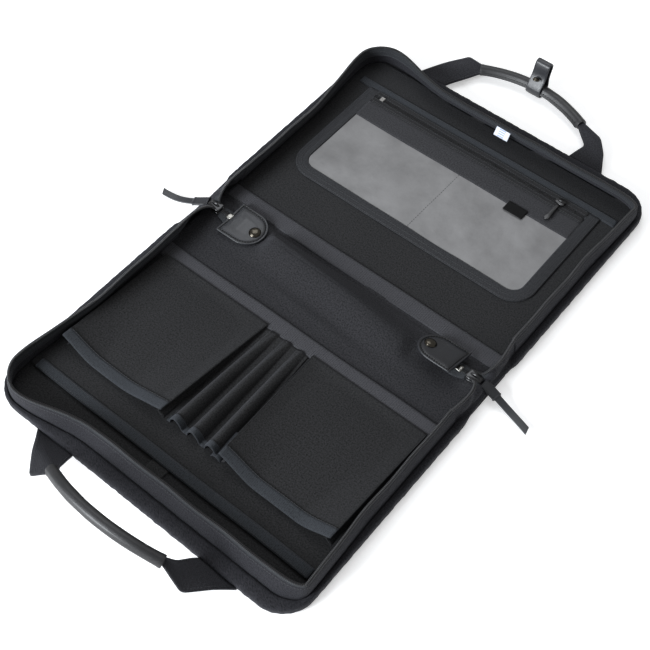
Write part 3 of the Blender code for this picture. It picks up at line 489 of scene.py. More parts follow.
def plain_look(name, colour, rough, metallic=0.0, coat=0.0, speck=0.15, scale=700.0, on_cad=False,
               depth=0.00003):
    """Moulded or cast material: slight mottling in tone and gloss."""
    made, tree, shader, place = start_material(name, on_cad)
    mottle = noise(tree, place, scale, 3.0)
    light = tuple(min(1.0, c * (1.0 + 4 * speck) + 0.004) for c in colour)
    feed(tree, shader.inputs["Base Color"], mix_colour(tree, mottle, (*colour, 1.0), (*light, 1.0)))
    feed(tree, shader.inputs["Roughness"], calc(tree, "MULTIPLY_ADD", mottle, speck, rough - speck / 2))
    shader.inputs["Metallic"].default_value = metallic
    shader.inputs["Coat Weight"].default_value = coat
    add_bump(tree, shader, mottle, depth)
    return made


TEETH_NYLON = plain_look("teeth_nylon", (0.010, 0.010, 0.011), 0.36)
THREAD = plain_look("sewing_thread", (0.020, 0.021, 0.023), 0.5, speck=0.3, scale=3000.0)
LEATHER_THREAD = plain_look("leather_thread", (0.003, 0.003, 0.003), 0.6, speck=0.3, scale=3000.0)
STITCH_PITCH, STITCH_LENGTH, THREAD_THICKNESS = 0.0031, 0.0023, 0.0005
RIM_COIL = {"pitch": 0.0016, "length": 0.0034, "width": 0.0013, "height": 0.0017, "turn": math.pi / 2}
RIM_TAPE_THICKNESS, HEM_THICKNESS = 0.0006, 0.0010


def resample(path, pitch):
    """Places and directions a fixed distance apart along a line of points."""
    path = np.asarray(path, float)
    along = np.concatenate([[0], np.cumsum(np.linalg.norm(np.diff(path, axis=0), axis=1))])
    count = max(2, int(along[-1] / pitch))
    at = (np.arange(count) + 0.5) * along[-1] / count
    middle = np.stack([np.interp(at, along, path[:, k]) for k in range(3)], 1)
    ahead = np.stack([np.interp(at + pitch / 4, along, path[:, k]) for k in range(3)], 1)
    behind = np.stack([np.interp(at - pitch / 4, along, path[:, k]) for k in range(3)], 1)
    way = ahead - behind
    return middle, way / np.maximum(np.linalg.norm(way, axis=1, keepdims=True), 1e-9)


def beads(name, path, up, look, pitch, length, width, height, sides=6, turn=0.0):
    """Small rounded pieces laid along a line: each has three rings of points, small, full
    and small, along its own length.  turn swings them across the line."""
    middle, way = resample(path, pitch)
    up = np.broadcast_to(np.asarray(up, float), middle.shape)
    across = unit(np.cross(way, up))
    rise = np.cross(across, way)
    lay = way * math.cos(turn) + across * math.sin(turn)
    span = across * math.cos(turn) - way * math.sin(turn)
    rings = np.array([(-0.5, 0.45, -0.5), (-0.28, 1.0, 0.0), (0.28, 1.0, 0.0), (0.5, 0.45, -0.5)])
    angle = np.linspace(0, 2 * math.pi, sides, endpoint=False)
    count = len(rings)
    points = (middle[:, None, None] + lay[:, None, None] * (rings[:, 0] * length)[None, :, None, None]
              + span[:, None, None] * (rings[:, 1, None] * np.cos(angle) * width / 2)[None, :, :, None]
              + rise[:, None, None] * (rings[:, 1, None] * np.sin(angle) * height / 2
                                       + rings[:, 2, None] * height * 0.4)[None, :, :, None])
    r, c = np.arange(count - 1)[:, None], np.arange(sides)[None, :]
    after = (c + 1) % sides
    quads = np.stack([r * sides + c, (r + 1) * sides + c, (r + 1) * sides + after, r * sides + after], -1)
    base = (np.arange(len(middle)) * count * sides)[:, None, None]
    faces = (base + quads.reshape(1, -1, 4)).reshape(-1, 4).tolist()
    first = (base[:, 0] + np.arange(sides)[None, :]).tolist()
    last = (base[:, 0] + (count - 1) * sides + np.arange(sides)[None, ::-1]).tolist()
    mesh = bpy.data.meshes.new(name)
    mesh.from_pydata(points.reshape(-1, 3).tolist(), [], faces + first + last)
    layer = mesh.uv_layers.new(name="metres")
    corner = np.zeros(len(mesh.loops), np.int32)
    mesh.loops.foreach_get("vertex_index", corner)
    layer.data.foreach_set("uv", points.reshape(-1, 3)[corner][:, :2].astype(np.float32).ravel())
    work = bmesh.new()
    work.from_mesh(mesh)
    bmesh.ops.recalc_face_normals(work, faces=work.faces)
    work.to_mesh(mesh)
    work.free()
    mesh.materials.append(look)
    mesh.shade_smooth()
    piece = bpy.data.objects.new(name, mesh)
    bpy.context.collection.objects.link(piece)
    return piece


def stitches(name, path, up, look=THREAD, pitch=STITCH_PITCH, length=STITCH_LENGTH,
             thick=THREAD_THICKNESS):
    """Round beads of thread along a line, each as high as it is wide."""
    return beads(name, path, up, look, pitch, length, thick, thick, 5)


def wall_stitches(name, seam, facing):
    """Stitches along a line, each facing the way given at the line's nearest point."""
    middle, _ = resample(seam, STITCH_PITCH)
    nearest = np.linalg.norm(middle[:, None] - seam[None], axis=2).argmin(axis=1)
    return stitches(name, seam, facing[nearest])


def line_on(path, side, behind, height, slack=0.0005):
    """One line round a tray at a depth and height."""
    return wall_points(path, side, [behind], [height], slack=slack)[:, 0]


for tray_name, tray_side in SIDES:
    path = tray_path(WALL_START, 60, 24, 110)
    down = np.linspace(0, 1, 6)
    tape = wall_points(path, tray_side, WALL_THICKNESS + 0.0009 + 0.0004 * np.sin(math.pi * down),
                       WALL_TOP + 0.0004 - TAPE_DEPTH * down)
    piece = surface(tray_name + "_rim_tape", tape, TAPE_CLOTH)
    fix(thicken(piece, RIM_TAPE_THICKNESS, 0.0), tray_name + "_tray", "zip_tape", tray_name + "_zip_tape")
    rim = line_on(path, tray_side, 0.0014, RIM_HEIGHT - 0.0009)
    piece = beads(tray_name + "_rim_coil", rim, (0, 0, 1), TEETH_NYLON, **RIM_COIL)
    fix(piece, tray_name + "_tray", "zip_teeth", tray_name + "_zip_teeth")
    tape_edge = wall_points(path, tray_side, [0.0002, 0.0004, 0.0004, 0.0002],
                            np.array([-0.0016, -0.0014, 0.0006, 0.0009]) + WALL_TOP)
    piece = surface(tray_name + "_rim_hem", tape_edge, TAPE_CLOTH)
    fix(thicken(piece, HEM_THICKNESS, 0.0), tray_name + "_tray", "zip_tape")
    normal = path[1]
    into = np.stack([-normal[:, 0], -tray_side * normal[:, 1], 0 * normal[:, 0]], 1)
    for row, height in enumerate((WALL_TOP - 0.0050, WALL_TOP - TAPE_DEPTH + 0.0012)):
        seam = line_on(path, tray_side, WALL_THICKNESS + 0.0016, height)
        piece = wall_stitches(f"{tray_name}_tape_stitches_{row + 1}", seam, into)
        fix(piece, tray_name + "_tray", "zip_tape")
    outside = line_on(path, tray_side, -0.0006, WALL_TOP - 0.0032)
    piece = wall_stitches(tray_name + "_rim_stitches", outside, -into)
    fix(piece, tray_name + "_tray", "shell_nylon")

# ---- corner gussets -----------------------------------------------------------------------
# At both ends of the spine the walls go soft: the rim curls down and in to the slider, and
# the cloth below it gathers in folds that fan out from there.
SLIDER_BOX = {-1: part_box("left_zip_slider"), 1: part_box("right_zip_slider")}
SLIDER_TOP = SLIDER_BOX[1][1].z
CURL_END = 0.0045
GUSSET_THICKNESS = 0.0012


def rim_curl(end, side, count=44):
    """The rim from the standing wall to the slider.  It runs on straight, then turns in and
    down along an ellipse; the far side turns later and more sharply than the near one."""
    share = np.linspace(0, 1, count)
    lean = RIM_INSET + SIDE_SAG[(end + 1) // 2]
    start_x = HALF_WIDTH - lean - 0.0007
    end_x = abs(SLIDER_BOX[end][0].x if end > 0 else SLIDER_BOX[end][1].x) + 0.0065
    power = 2.6 if side < 0 else 4.2
    hold = (1 - share ** power) ** (1 / power)
    swell = 0.0030 if end > 0 else 0.0012
    x = end_x + (start_x - end_x) * hold + swell * np.sin(math.pi * share ** 1.3)
    out = CURL_END + (WALL_START + 0.0020 - CURL_END) * (1 - share)
    z = SLIDER_TOP - 0.0015 + (RIM_HEIGHT - 0.0012 - SLIDER_TOP + 0.0015) * (1 - share ** 3.2) ** 0.8
    return np.stack([end * x, side * out, z], 1)


def corner_gusset(end, side):
    """Straight rulings from the curled rim to the seam, then round the padded edge below it.
    Folds are deepest half way down and grow towards the slider, where they pinch in."""
    rim = rim_curl(end, side)
    share = np.linspace(0, 1, len(rim))[:, None]
    drop = np.linspace(0, 1, 30)[None, :]
    stops = [0.0, 0.60, 0.66, 0.80, 0.93, 1.0]
    lean = RIM_INSET + SIDE_SAG[(end + 1) // 2]
    foot = wall_foot(lean)
    at_wall = foot + (BAND_TOP - FLOOR) / (WALL_TOP - FLOOR) * (lean - foot) + 0.0007
    seam = HALF_WIDTH - at_wall + (at_wall - FOOT_INSET) * ease(share * 1.3)
    belly, toe = HALF_WIDTH - 0.0012, HALF_WIDTH - 0.0060
    down = np.interp(drop, stops, [0, 1, 1, 1, 1, 1])
    below = np.interp(drop, stops, [0, 0, 0.04, 1, 1, 1])
    padding_x = np.interp(drop, stops, [belly, belly, belly, belly, belly - 0.0004, toe])
    low_x = seam * (1 - below) + padding_x * below
    low_z = np.interp(drop, stops, [BAND_TOP, BAND_TOP, BAND_TOP - 0.0008, 0.0072, 0.0026, 0.0010])
    x = np.abs(rim[:, :1]) * (1 - down) + (low_x - 0.0022 * ease(share)) * down
    z = rim[:, 2:] * (1 - down) + low_z * down
    out = np.abs(rim[:, 1:2]) - CURL_END * ease(share) * np.minimum(1, 2.2 * drop)
    arch = np.sin(math.pi * np.clip(drop / 0.62, 0, 1))
    fold = np.sin(2 * math.pi * (share * 2.3 + drop * 0.8 + 0.1))
    x = x + (0.0016 * fold * ease(share * 1.6) + 0.0016 * ease(share * 1.5) - 0.0034 * share ** 9) * arch
    points = np.stack([end * x, side * out, z], -1)
    name = ("organiser" if side < 0 else "window") + ("_left" if end < 0 else "_right")
    piece = surface(name + "_corner_cloth", points, SHELL_CLOTH, facing=(end, 0, 0))
    inner_tape = points[:, :12].copy()
    inner_tape[:, :, 0] -= end * 0.0021
    tape = surface(name + "_corner_tape", inner_tape, TAPE_CLOTH, facing=(-end, 0, 0))
    teeth = beads(name + "_corner_coil", rim + np.array([-end * 0.0004, 0, 0.0006]), (0, 0, 1),
                  TEETH_NYLON, **RIM_COIL)
    for part, finish, nodes in ((piece, "shell_nylon", [name + "_gusset"]), (tape, "zip_tape", []),
                                (teeth, "zip_teeth", [])):
        if part is not teeth:
            thicken(part, GUSSET_THICKNESS if part is piece else RIM_TAPE_THICKNESS)
        if nodes:
            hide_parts(*nodes)
        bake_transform(part)


for gusset_end in (-1, 1):
    for gusset_side in (-1, 1):
        corner_gusset(gusset_end, gusset_side)

# ---- linings ------------------------------------------------------------------------------
# Black nylon laid over each stiffened base and turned up where it meets the wall.  It lies
# almost flat, with slow swells of under a millimetre.
LINING_CLOTH = cloth("lining_cloth", (0.002, 0.002, 0.002), (0.027, 0.027, 0.028))
LINING_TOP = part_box("organiser_lining")[1].z


def inner_edge(out, end):
    """Half width inside the walls at a distance from the spine, round the corners too."""
    lean = RIM_INSET + SIDE_SAG[(end + 1) // 2] * ease((HALF_LENGTH - CORNER_RADIUS - out) / SIDE_SAG_RUN)
    inset = wall_foot(lean) + WALL_THICKNESS + CLOTH_GAP
    radius = CORNER_RADIUS - inset
    past = np.clip(out - (HALF_LENGTH - CORNER_RADIUS), 0, radius)
    return HALF_WIDTH - inset - radius + np.sqrt(np.maximum(radius ** 2 - past ** 2, 0))


def floor_sheet(outs, height, half=None, swell=0.0005, seed=5, columns=70):
    """Rows at distances from the spine; each row runs from wall to wall or over a half
    width.  Height may be a number or a value for each row."""
    across = np.linspace(-1, 1, columns)[None, :]
    outs = np.asarray(outs, float)[:, None]
    left = -(inner_edge(outs, -1) if half is None else half + 0 * outs)
    right = inner_edge(outs, 1) if half is None else half + 0 * outs
    x = 0.5 * (left + right) + 0.5 * (right - left) * across
    out = np.broadcast_to(outs, x.shape)
    lift = ripple(x * 0.8 + out * 0.5, seed, 4, 0.09) * ripple(out - 0.3 * x, seed + 1, 4, 0.08)
    z = np.broadcast_to(np.asarray(height, float).reshape(-1, 1) if np.ndim(height) else height, x.shape)
    return x, out, z + swell * np.abs(lift)


def declare_cloth(points):
    """Reads the grid of points as an array, and does nothing more with it."""
    points = np.asarray(points, float)


for tray_name, tray_side in SIDES:
    end_inset = FOOT_INSET + 0.5 * END_SAG + WALL_THICKNESS + CLOTH_GAP
    outs = np.linspace(FOLD_OUT + 0.0015, HALF_LENGTH - end_inset + 0.006, 90)
    x, out, z = floor_sheet(outs, LINING_TOP - 0.0001, swell=0.0002)
    out = np.minimum(out, HALF_LENGTH - FOOT_INSET - WALL_THICKNESS - 0.5 * END_SAG
                     * ease((x + HALF_WIDTH - CORNER_RADIUS) / END_SAG_RUN) - CLOTH_GAP)
    floor_points = np.stack([x, tray_side * out, z], -1)
    piece = surface(tray_name + "_lining_cloth", floor_points, LINING_CLOTH, facing=(0, 0, 1))
    fix(thicken(piece, 0.0004), tray_name + "_tray", "lining_nylon", tray_name + "_lining")
    declare_cloth(floor_points)

# ---- spine --------------------------------------------------------------------------------
# One soft piece of lining crosses the fold lines from webbing to webbing.  It is cut wider
# than the spine, so it stands up in a long low ridge between the tabs and dips beside the
# far webbing.  It is modelled in two halves.
NEAR_STRIP = [-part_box("organiser_webbing_strip")[k].y for k in (1, 0)]
STRIP_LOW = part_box("organiser_webbing_strip")[0].z
FAR_SEAM = (FOLD_OUT - 0.0050, FOLD_OUT + 0.0140)
SPINE_NEAR, SPINE_FAR = -NEAR_STRIP[0] - 0.004, FAR_SEAM[0] + 0.004
SPINE_CLOTH = cloth("spine_cloth", (0.002, 0.002, 0.003), (0.031, 0.031, 0.034))
TAB_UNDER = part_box("left_snap_tab")[0].z


def spine_height(x, y):
    """A long hill of slack cloth running slantwise from tab to tab: a slow near slope and a
    steeper far one, each half a cosine, with a crease before the far webbing and a slighter
    fold on the near side; pressed down under the leather tabs."""
    crest = -0.0015 - 0.105 * x - 0.35 * x ** 2
    past = y - crest
    reach = np.where(past < 0, 0.032 + 0.06 * np.abs(x), np.clip(0.0195 - crest, 0.008, 0.032))
    hill = 0.5 + 0.5 * np.cos(math.pi * np.clip(past / reach, -1, 1))
    hill = (0.0115 - 0.020 * x) * hill * ease((0.152 - np.abs(x)) / 0.08)
    crown = 0.0044 + 0.0014 * np.clip(1 - (y / 0.034) ** 2, 0, 1)
    fold = 0.0011 * np.exp(-((y + 0.040 + 0.05 * x) / 0.006) ** 2) * ease((0.13 - np.abs(x - 0.02)) / 0.08)
    crease = -0.0014 * np.exp(-((y - 0.0205) / 0.0026) ** 2)
    slow = 0.0005 * ripple(x + 0.3 * y, 21, 4, 0.06) * ease((y - SPINE_NEAR) / 0.012)
    ends = 0.0050 * ease((np.abs(x) - 0.150) / 0.020) * np.exp(-(y / 0.010) ** 2)
    under_tab = ease((np.abs(x) - 0.088) / 0.016) * np.exp(-(y / 0.025) ** 4) * (np.abs(x) < 0.156)
    height = crown + hill + fold + crease + slow
    height = height * (1 - under_tab) + np.minimum(height, TAB_UNDER - 0.0009) * under_tab
    return np.maximum(height + ends, 0.0040)


for part_name, low_y, high_y, bodies, bend in (
        ("near_spine_cloth", SPINE_NEAR, 0.0, ("organiser_tray", "spine"),
         (-FOLD_OUT - 0.018, -FOLD_OUT + 0.018)),
        ("far_spine_cloth", 0.0, SPINE_FAR, ("spine", "window_tray"), (0.010, FOLD_OUT + 0.010))):
    y = np.linspace(low_y, high_y, 44)[:, None] + 0 * np.linspace(0, 1, 150)[None, :]
    reach = HALF_WIDTH - FOOT_INSET - 0.0042 - 0.0015 * np.exp(-(y / 0.02) ** 2)
    x = reach * np.linspace(-1, 1, 150)[None, :]
    points = np.stack([x, y, spine_height(x, y)], -1)
    piece = surface(part_name, points, SPINE_CLOTH, facing=(0, 0, 1))
    thicken(piece, 0.0006)
    if low_y < 0:
        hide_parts("spine_lining")
    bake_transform(piece)
dress("spine_panel", BASE_CLOTH)

# ---- webbing strips -----------------------------------------------------------------------
# Woven tape, stiffer and paler than the lining, sewn down along both edges.  The near one
# covers the upper ends of the pockets and the far one the seam beside the fold.
# rib strengthens the painted shade of the weave, so that the tapes' ribs show as light and dark lines.
WEBBING = cloth("webbing_tape", (0.002, 0.002, 0.003), (0.056, 0.056, 0.062), 0.0023, 0.0016, 0.00045,
                0.72, 0.08, rib=2.2)
BINDING = cloth("binding_tape", (0.004, 0.005, 0.006), (0.036, 0.040, 0.046), 0.0018, 0.0010, 0.00022,
                0.7, 0.08, rib=1.6)


def strip(name, side, outs, height, thickness, look, half=None, body=None, nodes=(), seed=9, seam=0.0016,
          columns=120):
    """A flat woven tape across a tray: square edges rounded by its selvedge, and a row of
    stitches near each edge."""
    rows = np.linspace(0, 1, 9)
    lens = thickness * (1 - 0.55 * np.abs(2 * rows - 1) ** 5)
    x, out, z = floor_sheet(outs[0] + (outs[1] - outs[0]) * rows, height, half, 0.00025, seed, columns)
    z = z + lens[:, None]
    out = out + 0.0005 * ripple(x, seed + 4, 3, 0.12)
    points = np.stack([x, side * out, z], -1)
    piece = surface(name, points, look, facing=(0, 0, 1))
    thicken(piece, thickness)
    if nodes:
        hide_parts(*nodes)
    rows_of_thread = []
    for number, share in enumerate((seam / (outs[1] - outs[0]), 1 - seam / (outs[1] - outs[0]))):
        at = share * (len(rows) - 1)
        k = min(int(at), len(rows) - 2)
        line = points[k] * (k + 1 - at) + points[k + 1] * (at - k) + np.array([0, 0, 0.0002])
        thread = stitches(f"{name}_stitches_{number + 1}", line[1:-1], (0, 0, 1))
        rows_of_thread.append(thread)
    if body:
        for part in [piece] + rows_of_thread:
            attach(part, body)
    return [piece] + rows_of_thread


strip("pocket_head_webbing", -1, NEAR_STRIP, STRIP_LOW + 0.0008, 0.0012, WEBBING, body="organiser_tray",
      nodes=["organiser_webbing_strip"])
for part in strip("fold_webbing", 1, FAR_SEAM, STRIP_LOW + 0.0002, 0.0012, WEBBING,
                  half=HALF_WIDTH - FOOT_INSET - 0.0085, nodes=["window_webbing_strip"], seed=14):
    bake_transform(part)
TOP_STRIP = [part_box("top_webbing_strip")[k].y for k in (0, 1)]
strip("top_webbing", 1, TOP_STRIP, STRIP_LOW - 0.0002, 0.0010, BINDING,
      half=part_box("top_webbing_strip")[1].x, body="window_tray", nodes=["top_webbing_strip"], seed=17)

# ---- flat full-width pocket ---------------------------------------------------------------
# A single sheet of lining nylon from the webbing to near the outer end, its open edge bound
# with folded tape.  The edge stands a little off the lining, so it throws a thin shadow.
POCKET_OUT = -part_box("full_width_pocket")[0].y
SHEET_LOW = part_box("full_width_pocket")[0].z
outs = np.linspace(NEAR_STRIP[1] - 0.004, POCKET_OUT - 0.001, 80)
lift = 0.0016 * ease((outs - POCKET_OUT + 0.05) / 0.05)
x, out, z = floor_sheet(outs, SHEET_LOW + 0.0005 + lift, swell=0.0005, seed=31)
x = x * 0.992
piece = surface("flat_pocket_cloth", np.stack([x, -out, z], -1), LINING_CLOTH, facing=(0, 0, 1))
fix(thicken(piece, 0.0005), "organiser_tray", "lining_nylon", "full_width_pocket")
strip("flat_pocket_binding", -1, (POCKET_OUT - 0.0118, POCKET_OUT), SHEET_LOW + 0.0021, 0.0016, BINDING,
      half=HALF_WIDTH - 0.0165, body="organiser_tray", nodes=["full_width_pocket_binding"], seed=31)
hook_low, hook_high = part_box("hook_and_loop_tab")
hook_rows = np.linspace(hook_low.y, hook_high.y + 0.003, 20)
grid_x, grid_y = np.meshgrid(np.linspace(hook_low.x, hook_high.x, 22), hook_rows)
pile = hook_low.z + 0.0012 + 0.0003 * np.random.default_rng(4).random(grid_x.shape)
HOOK_PILE = cloth("hook_pile", (0.006, 0.006, 0.006), (0.035, 0.035, 0.035), 0.0012, 0.0012, 0.0004, 0.9,
                  0.1)
piece = surface("hook_tab", np.stack([grid_x, grid_y, pile], -1), HOOK_PILE, facing=(0, 0, 1))
fix(thicken(piece, 0.0012), "organiser_tray", "hook_and_loop", "hook_and_loop_tab")

# ---- raised pockets -----------------------------------------------------------------------
# Two bellows pockets: a roof sewn under the webbing and held by folded sides, with a bound
# mouth.  The mouth's corners stand up on the sides and its middle sags under its own weight.
RAISED_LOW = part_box("left_pocket")[0].z
MOUTH_OUT = -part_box("left_pocket")[0].y
MOUTH_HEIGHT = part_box("left_pocket")[1].z
POCKET_HEAD = -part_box("left_pocket")[1].y - 0.004
POCKET_TAPER, MOUTH_SAG, HEAD_RISE = 0.0080, 0.0092, 0.0022


def settle(points, pinned, cap, frames=16):
    """Hang a sheet by its pinned points under gravity as cloth, and return where it comes to
    rest, no point having moved more than the cap."""
    trial = surface("settling_sheet", points, LINING_CLOTH)
    held = trial.vertex_groups.new(name="sewn")
    held.add(np.flatnonzero(pinned.ravel()).tolist(), 1.0, "REPLACE")
    step = trial.modifiers.new("drape", "CLOTH")
    step.settings.vertex_group_mass = "sewn"
    step.settings.mass = 0.25
    step.settings.quality = 6
    step.settings.tension_stiffness = 12.0
    step.settings.compression_stiffness = 6.0
    step.settings.bending_stiffness = 1.2
    step.settings.air_damping = 3.0
    step.point_cache.frame_start = 1
    step.point_cache.frame_end = frames
    for number in range(1, frames + 1):
        bpy.context.scene.frame_set(number)
    done = trial.evaluated_get(bpy.context.evaluated_depsgraph_get()).to_mesh()
    rest = np.zeros(len(done.vertices) * 3, np.float32)
    done.vertices.foreach_get("co", rest)
    bpy.context.scene.frame_set(1)
    bpy.data.objects.remove(trial, do_unlink=True)
    moved = rest.reshape(points.shape).astype(float) - points
    far = np.linalg.norm(moved, axis=-1, keepdims=True)
    return points + moved * np.minimum(1.0, cap / np.maximum(far, 1e-9))


def pocket_roof(inner_back, inner_mouth, outer, end, dip):
    """Rows from the head to the mouth.  The height follows the sides, less a sag that grows
    towards the mouth; across, the sag is flat in the middle and quick near the corners."""
    share = np.linspace(0, 1, 54)[:, None]
    inner = inner_back + (inner_mouth - inner_back) * share
    cross = np.linspace(0, 1, 50)[None, :]
    x = end * (inner + (outer - inner) * cross)
    lean_left, lean_right = dip
    left = cross if end > 0 else 1 - cross
    bowl = ease(left / lean_left) * ease((1 - left) / lean_right)
    rise = share ** 0.9
    z = RAISED_LOW + HEAD_RISE + (MOUTH_HEIGHT - RAISED_LOW - HEAD_RISE) * rise
    z = z - (MOUTH_SAG * share ** 1.6) * bowl
    out = POCKET_HEAD + (MOUTH_OUT - POCKET_HEAD) * share + 0.0030 * share ** 3 * bowl
    z = z + 0.0007 * ripple(x + 0.5 * out, 41, 4, 0.06) * share * (1 - 0.5 * np.abs(2 * cross - 1))
    return np.stack([x, -out, z], -1)


def pocket_side(roof_edge, end_sign):
    """A bellows side: cloth that drops from the roof's edge, folds in once and out again."""
    drop = np.linspace(0, 1, 14)[None, :]
    top = roof_edge[:, None, :]
    height = top[:, :, 2] - (top[:, :, 2] - RAISED_LOW) * drop
    tall = (top[:, :, 2] - RAISED_LOW) / (MOUTH_HEIGHT - RAISED_LOW)
    fold = 0.0052 * np.sin(math.pi * drop) ** 1.3 * tall
    return np.stack([top[:, :, 0] + end_sign * fold, top[:, :, 1] + 0 * drop, height], -1)


def fold_tape(edge_rows, thickness, reach):
    """Tape folded over the end rows of a sheet: over the top, round the edge, and back."""
    ahead = edge_rows[-1] - edge_rows[-2]
    ahead /= np.linalg.norm(ahead, axis=-1, keepdims=True)
    back = edge_rows[::-1]
    along = np.concatenate([[0], np.cumsum(np.linalg.norm(np.diff(back[:, 0], axis=0), axis=1))])
    keep = back[along <= reach]
    up = np.array([0, 0, thickness])
    nose = [back[0] + ahead * thickness * 0.8 + up * 0.6, back[0] + ahead * thickness * 1.1,
            back[0] + ahead * thickness * 0.8 - up * 0.9]
    return np.stack(list(keep[::-1] + up) + nose + list(keep - up * 1.4), 0)


for pocket_name, end in (("left_pocket", -1), ("right_pocket", 1)):
    low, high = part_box(pocket_name)
    outer = max(abs(low.x), abs(high.x)) - 0.0006
    inner_mouth = min(abs(low.x), abs(high.x)) + 0.0088
    dip = (0.30, 0.42) if end < 0 else (0.34, 0.25)
    roof = pocket_roof(inner_mouth - POCKET_TAPER, inner_mouth - 0.0002, outer, end, dip)
    pinned = np.zeros(roof.shape[:2], bool)
    pinned[0] = pinned[:, 0] = pinned[:, -1] = True
    roof = settle(roof, pinned, 0.0030)
    body_cloth = surface(pocket_name + "_roof", roof, LINING_CLOTH, facing=(0, 0, 1))
    fix(thicken(body_cloth, 0.0008), "organiser_tray", "lining_nylon", pocket_name)
    for label, column, fold_way in (("inner", 0, end), ("outer", -1, -end)):
        side_points = pocket_side(roof[:, column], fold_way)
        side_cloth = surface(f"{pocket_name}_{label}_side", side_points, LINING_CLOTH,
                             facing=(-fold_way, 0, 0))
        fix(thicken(side_cloth, 0.0007), "organiser_tray", "lining_nylon")
        declare_cloth(side_points)
    tape = fold_tape(roof, 0.0008, 0.0118)
    piece = surface(pocket_name + "_mouth_tape", tape, BINDING, facing=(0, 0, 1))
    fix(thicken(piece, 0.0003, 0.0), "organiser_tray", "binding_tape", pocket_name + "_binding")
    seam = roof[-5] + np.array([0, 0, 0.0011])
    fix(stitches(pocket_name + "_mouth_stitches", seam[1:-1], (0, 0, 1)), "organiser_tray", "binding_tape")

# ---- pen loops ----------------------------------------------------------------------------
# One piece of lining sewn down in three gathers.  The tubes are pinched flat under the
# webbing and round at the mouth, where each has a short bound cuff, and the end of a fourth
# fold shows under the right-hand pocket.
PEN_LOW, PEN_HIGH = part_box("pen_loops")
PEN_COUNT, PEN_DRIFT = 3, 0.001
PEN_PITCH = (PEN_HIGH.x - PEN_LOW.x) / PEN_COUNT - 0.0001


def pen_sheet(shares, grow=0.0):
    """Height across the tubes is an upright half ellipse, narrower than the pitch, so that
    flat valleys lie between; it rises along the tube as a quarter sine."""
    share = np.asarray(shares, float)[:, None]
    cross = np.linspace(-0.5, 0.5, 96 + 1)[None, :]
    pitch = PEN_PITCH - 0.0050 * (1 - share)
    place = cross * PEN_COUNT
    local = place - np.clip(np.round(place), -1, 1)
    skew = local + 0.10 * np.sin(2 * math.pi * local)
    half = 0.40 + 0.04 * share
    arch = np.sqrt(np.clip(1 - (skew / half) ** 2, 0, 1))
    arch = arch ** 0.85
    top = 0.0016 + (PEN_HIGH.z - RAISED_LOW - 0.0016 - 0.0004) * np.sin(share * math.pi / 2) ** 0.9
    wrinkle = 0.0005 * np.sin(2 * math.pi * (place * 2.1 + share * 1.4)) * (1 - share) ** 2
    z = RAISED_LOW + 0.0009 + grow + (top + grow) * arch + wrinkle * arch
    x = PEN_DRIFT * share + place * pitch
    out = POCKET_HEAD + 0.004 + (-PEN_LOW.y - POCKET_HEAD - 0.004) * share
    return np.stack([x, np.broadcast_to(-out, x.shape), z], -1)


tube_points = pen_sheet(np.linspace(0, 1, 60))
tubes = surface("pen_tubes", tube_points, LINING_CLOTH, facing=(0, 0, 1))
fix(thicken(tubes, 0.0008), "organiser_tray", "lining_nylon", "pen_loops")
declare_cloth(tube_points)
cuff = surface("pen_tube_cuffs", pen_sheet(np.linspace(0.953, 1.004, 7), 0.0005), BINDING, facing=(0, 0, 1))
fix(thicken(cuff, 0.0013), "organiser_tray", "binding_tape")
fold_x = np.linspace(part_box("right_pocket")[0].x - 0.003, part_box("right_pocket")[0].x + 0.009, 22)[None, :]
fold_share = np.linspace(0, 1, 16)[:, None]
fold_z = RAISED_LOW + 0.0006 + 0.0050 * np.sin(math.pi * (fold_x - fold_x.min()) / np.ptp(fold_x)) ** 0.7
fold_y = -(-PEN_LOW.y - 0.030 + 0.0325 * fold_share)
fold_points = np.stack(np.broadcast_arrays(fold_x, fold_y, fold_z), -1)
piece = surface("folded_loop_end", fold_points, BINDING, facing=(0, 0, 1))
fix(thicken(piece, 0.0007), "organiser_tray", "binding_tape")

# ---- window pocket ------------------------------------------------------------------------
# A clear vinyl pocket in a frame of domed tape with two rows of stitches.  Above it lie a
# band of nylon and a coil zip, and a line of stitches divides the vinyl in two.
VINYL_LOW, VINYL_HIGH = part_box("window_sheet")
FRAME_LOW, FRAME_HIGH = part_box("window_frame_binding")
FRAME_WIDTH = FRAME_HIGH.x - VINYL_HIGH.x
WINDOW_CORNER = 0.028
FRAME_EDGE, FRAME_DOME, FRAME_DIP = 0.0010, 0.0007, 0.0003
DIVIDE_X, DIVIDE_SLANT = 0.002, 0.0006


def vinyl_look():
    """Frosted vinyl over dark cloth: grey, glossy, with cloudy marks where it clings.  Its grey is partly the
    frosting and partly painted reflection, lighter towards +X.
    """
    made, tree, shader, place = start_material("clear_vinyl", False)
    cloud = noise(tree, place, 22.0, 4.0, 0.55)
    marks = noise(tree, place, 60.0, 3.0, 0.6)
    share = calc(tree, "MINIMUM", calc(tree, "MAXIMUM", calc(
        tree, "MULTIPLY_ADD", calc(tree, "SUBTRACT", cloud, 0.5), 2.4, 0.55), 0.0), 1.0)
    split = tree.nodes.new("ShaderNodeSeparateXYZ")
    feed(tree, split.inputs[0], place)
    # Painted reflection: the base colour grows lighter towards +X.
    share = calc(tree, "MULTIPLY_ADD", split.outputs["X"], 1.6, share)
    share = calc(tree, "MINIMUM", calc(tree, "MAXIMUM", share, 0.0), 1.6)
    feed(tree, shader.inputs["Base Color"],
         mix_colour(tree, share, (0.080, 0.078, 0.079, 1.0), (0.150, 0.148, 0.150, 1.0)))
    feed(tree, shader.inputs["Roughness"], calc(tree, "MULTIPLY_ADD", marks, 0.25, 0.26))
    shader.inputs["Coat Weight"].default_value = 0.25
    shader.inputs["Coat Roughness"].default_value = 0.2
    add_bump(tree, shader, cloud, 0.0012)
    return made


VINYL = vinyl_look()


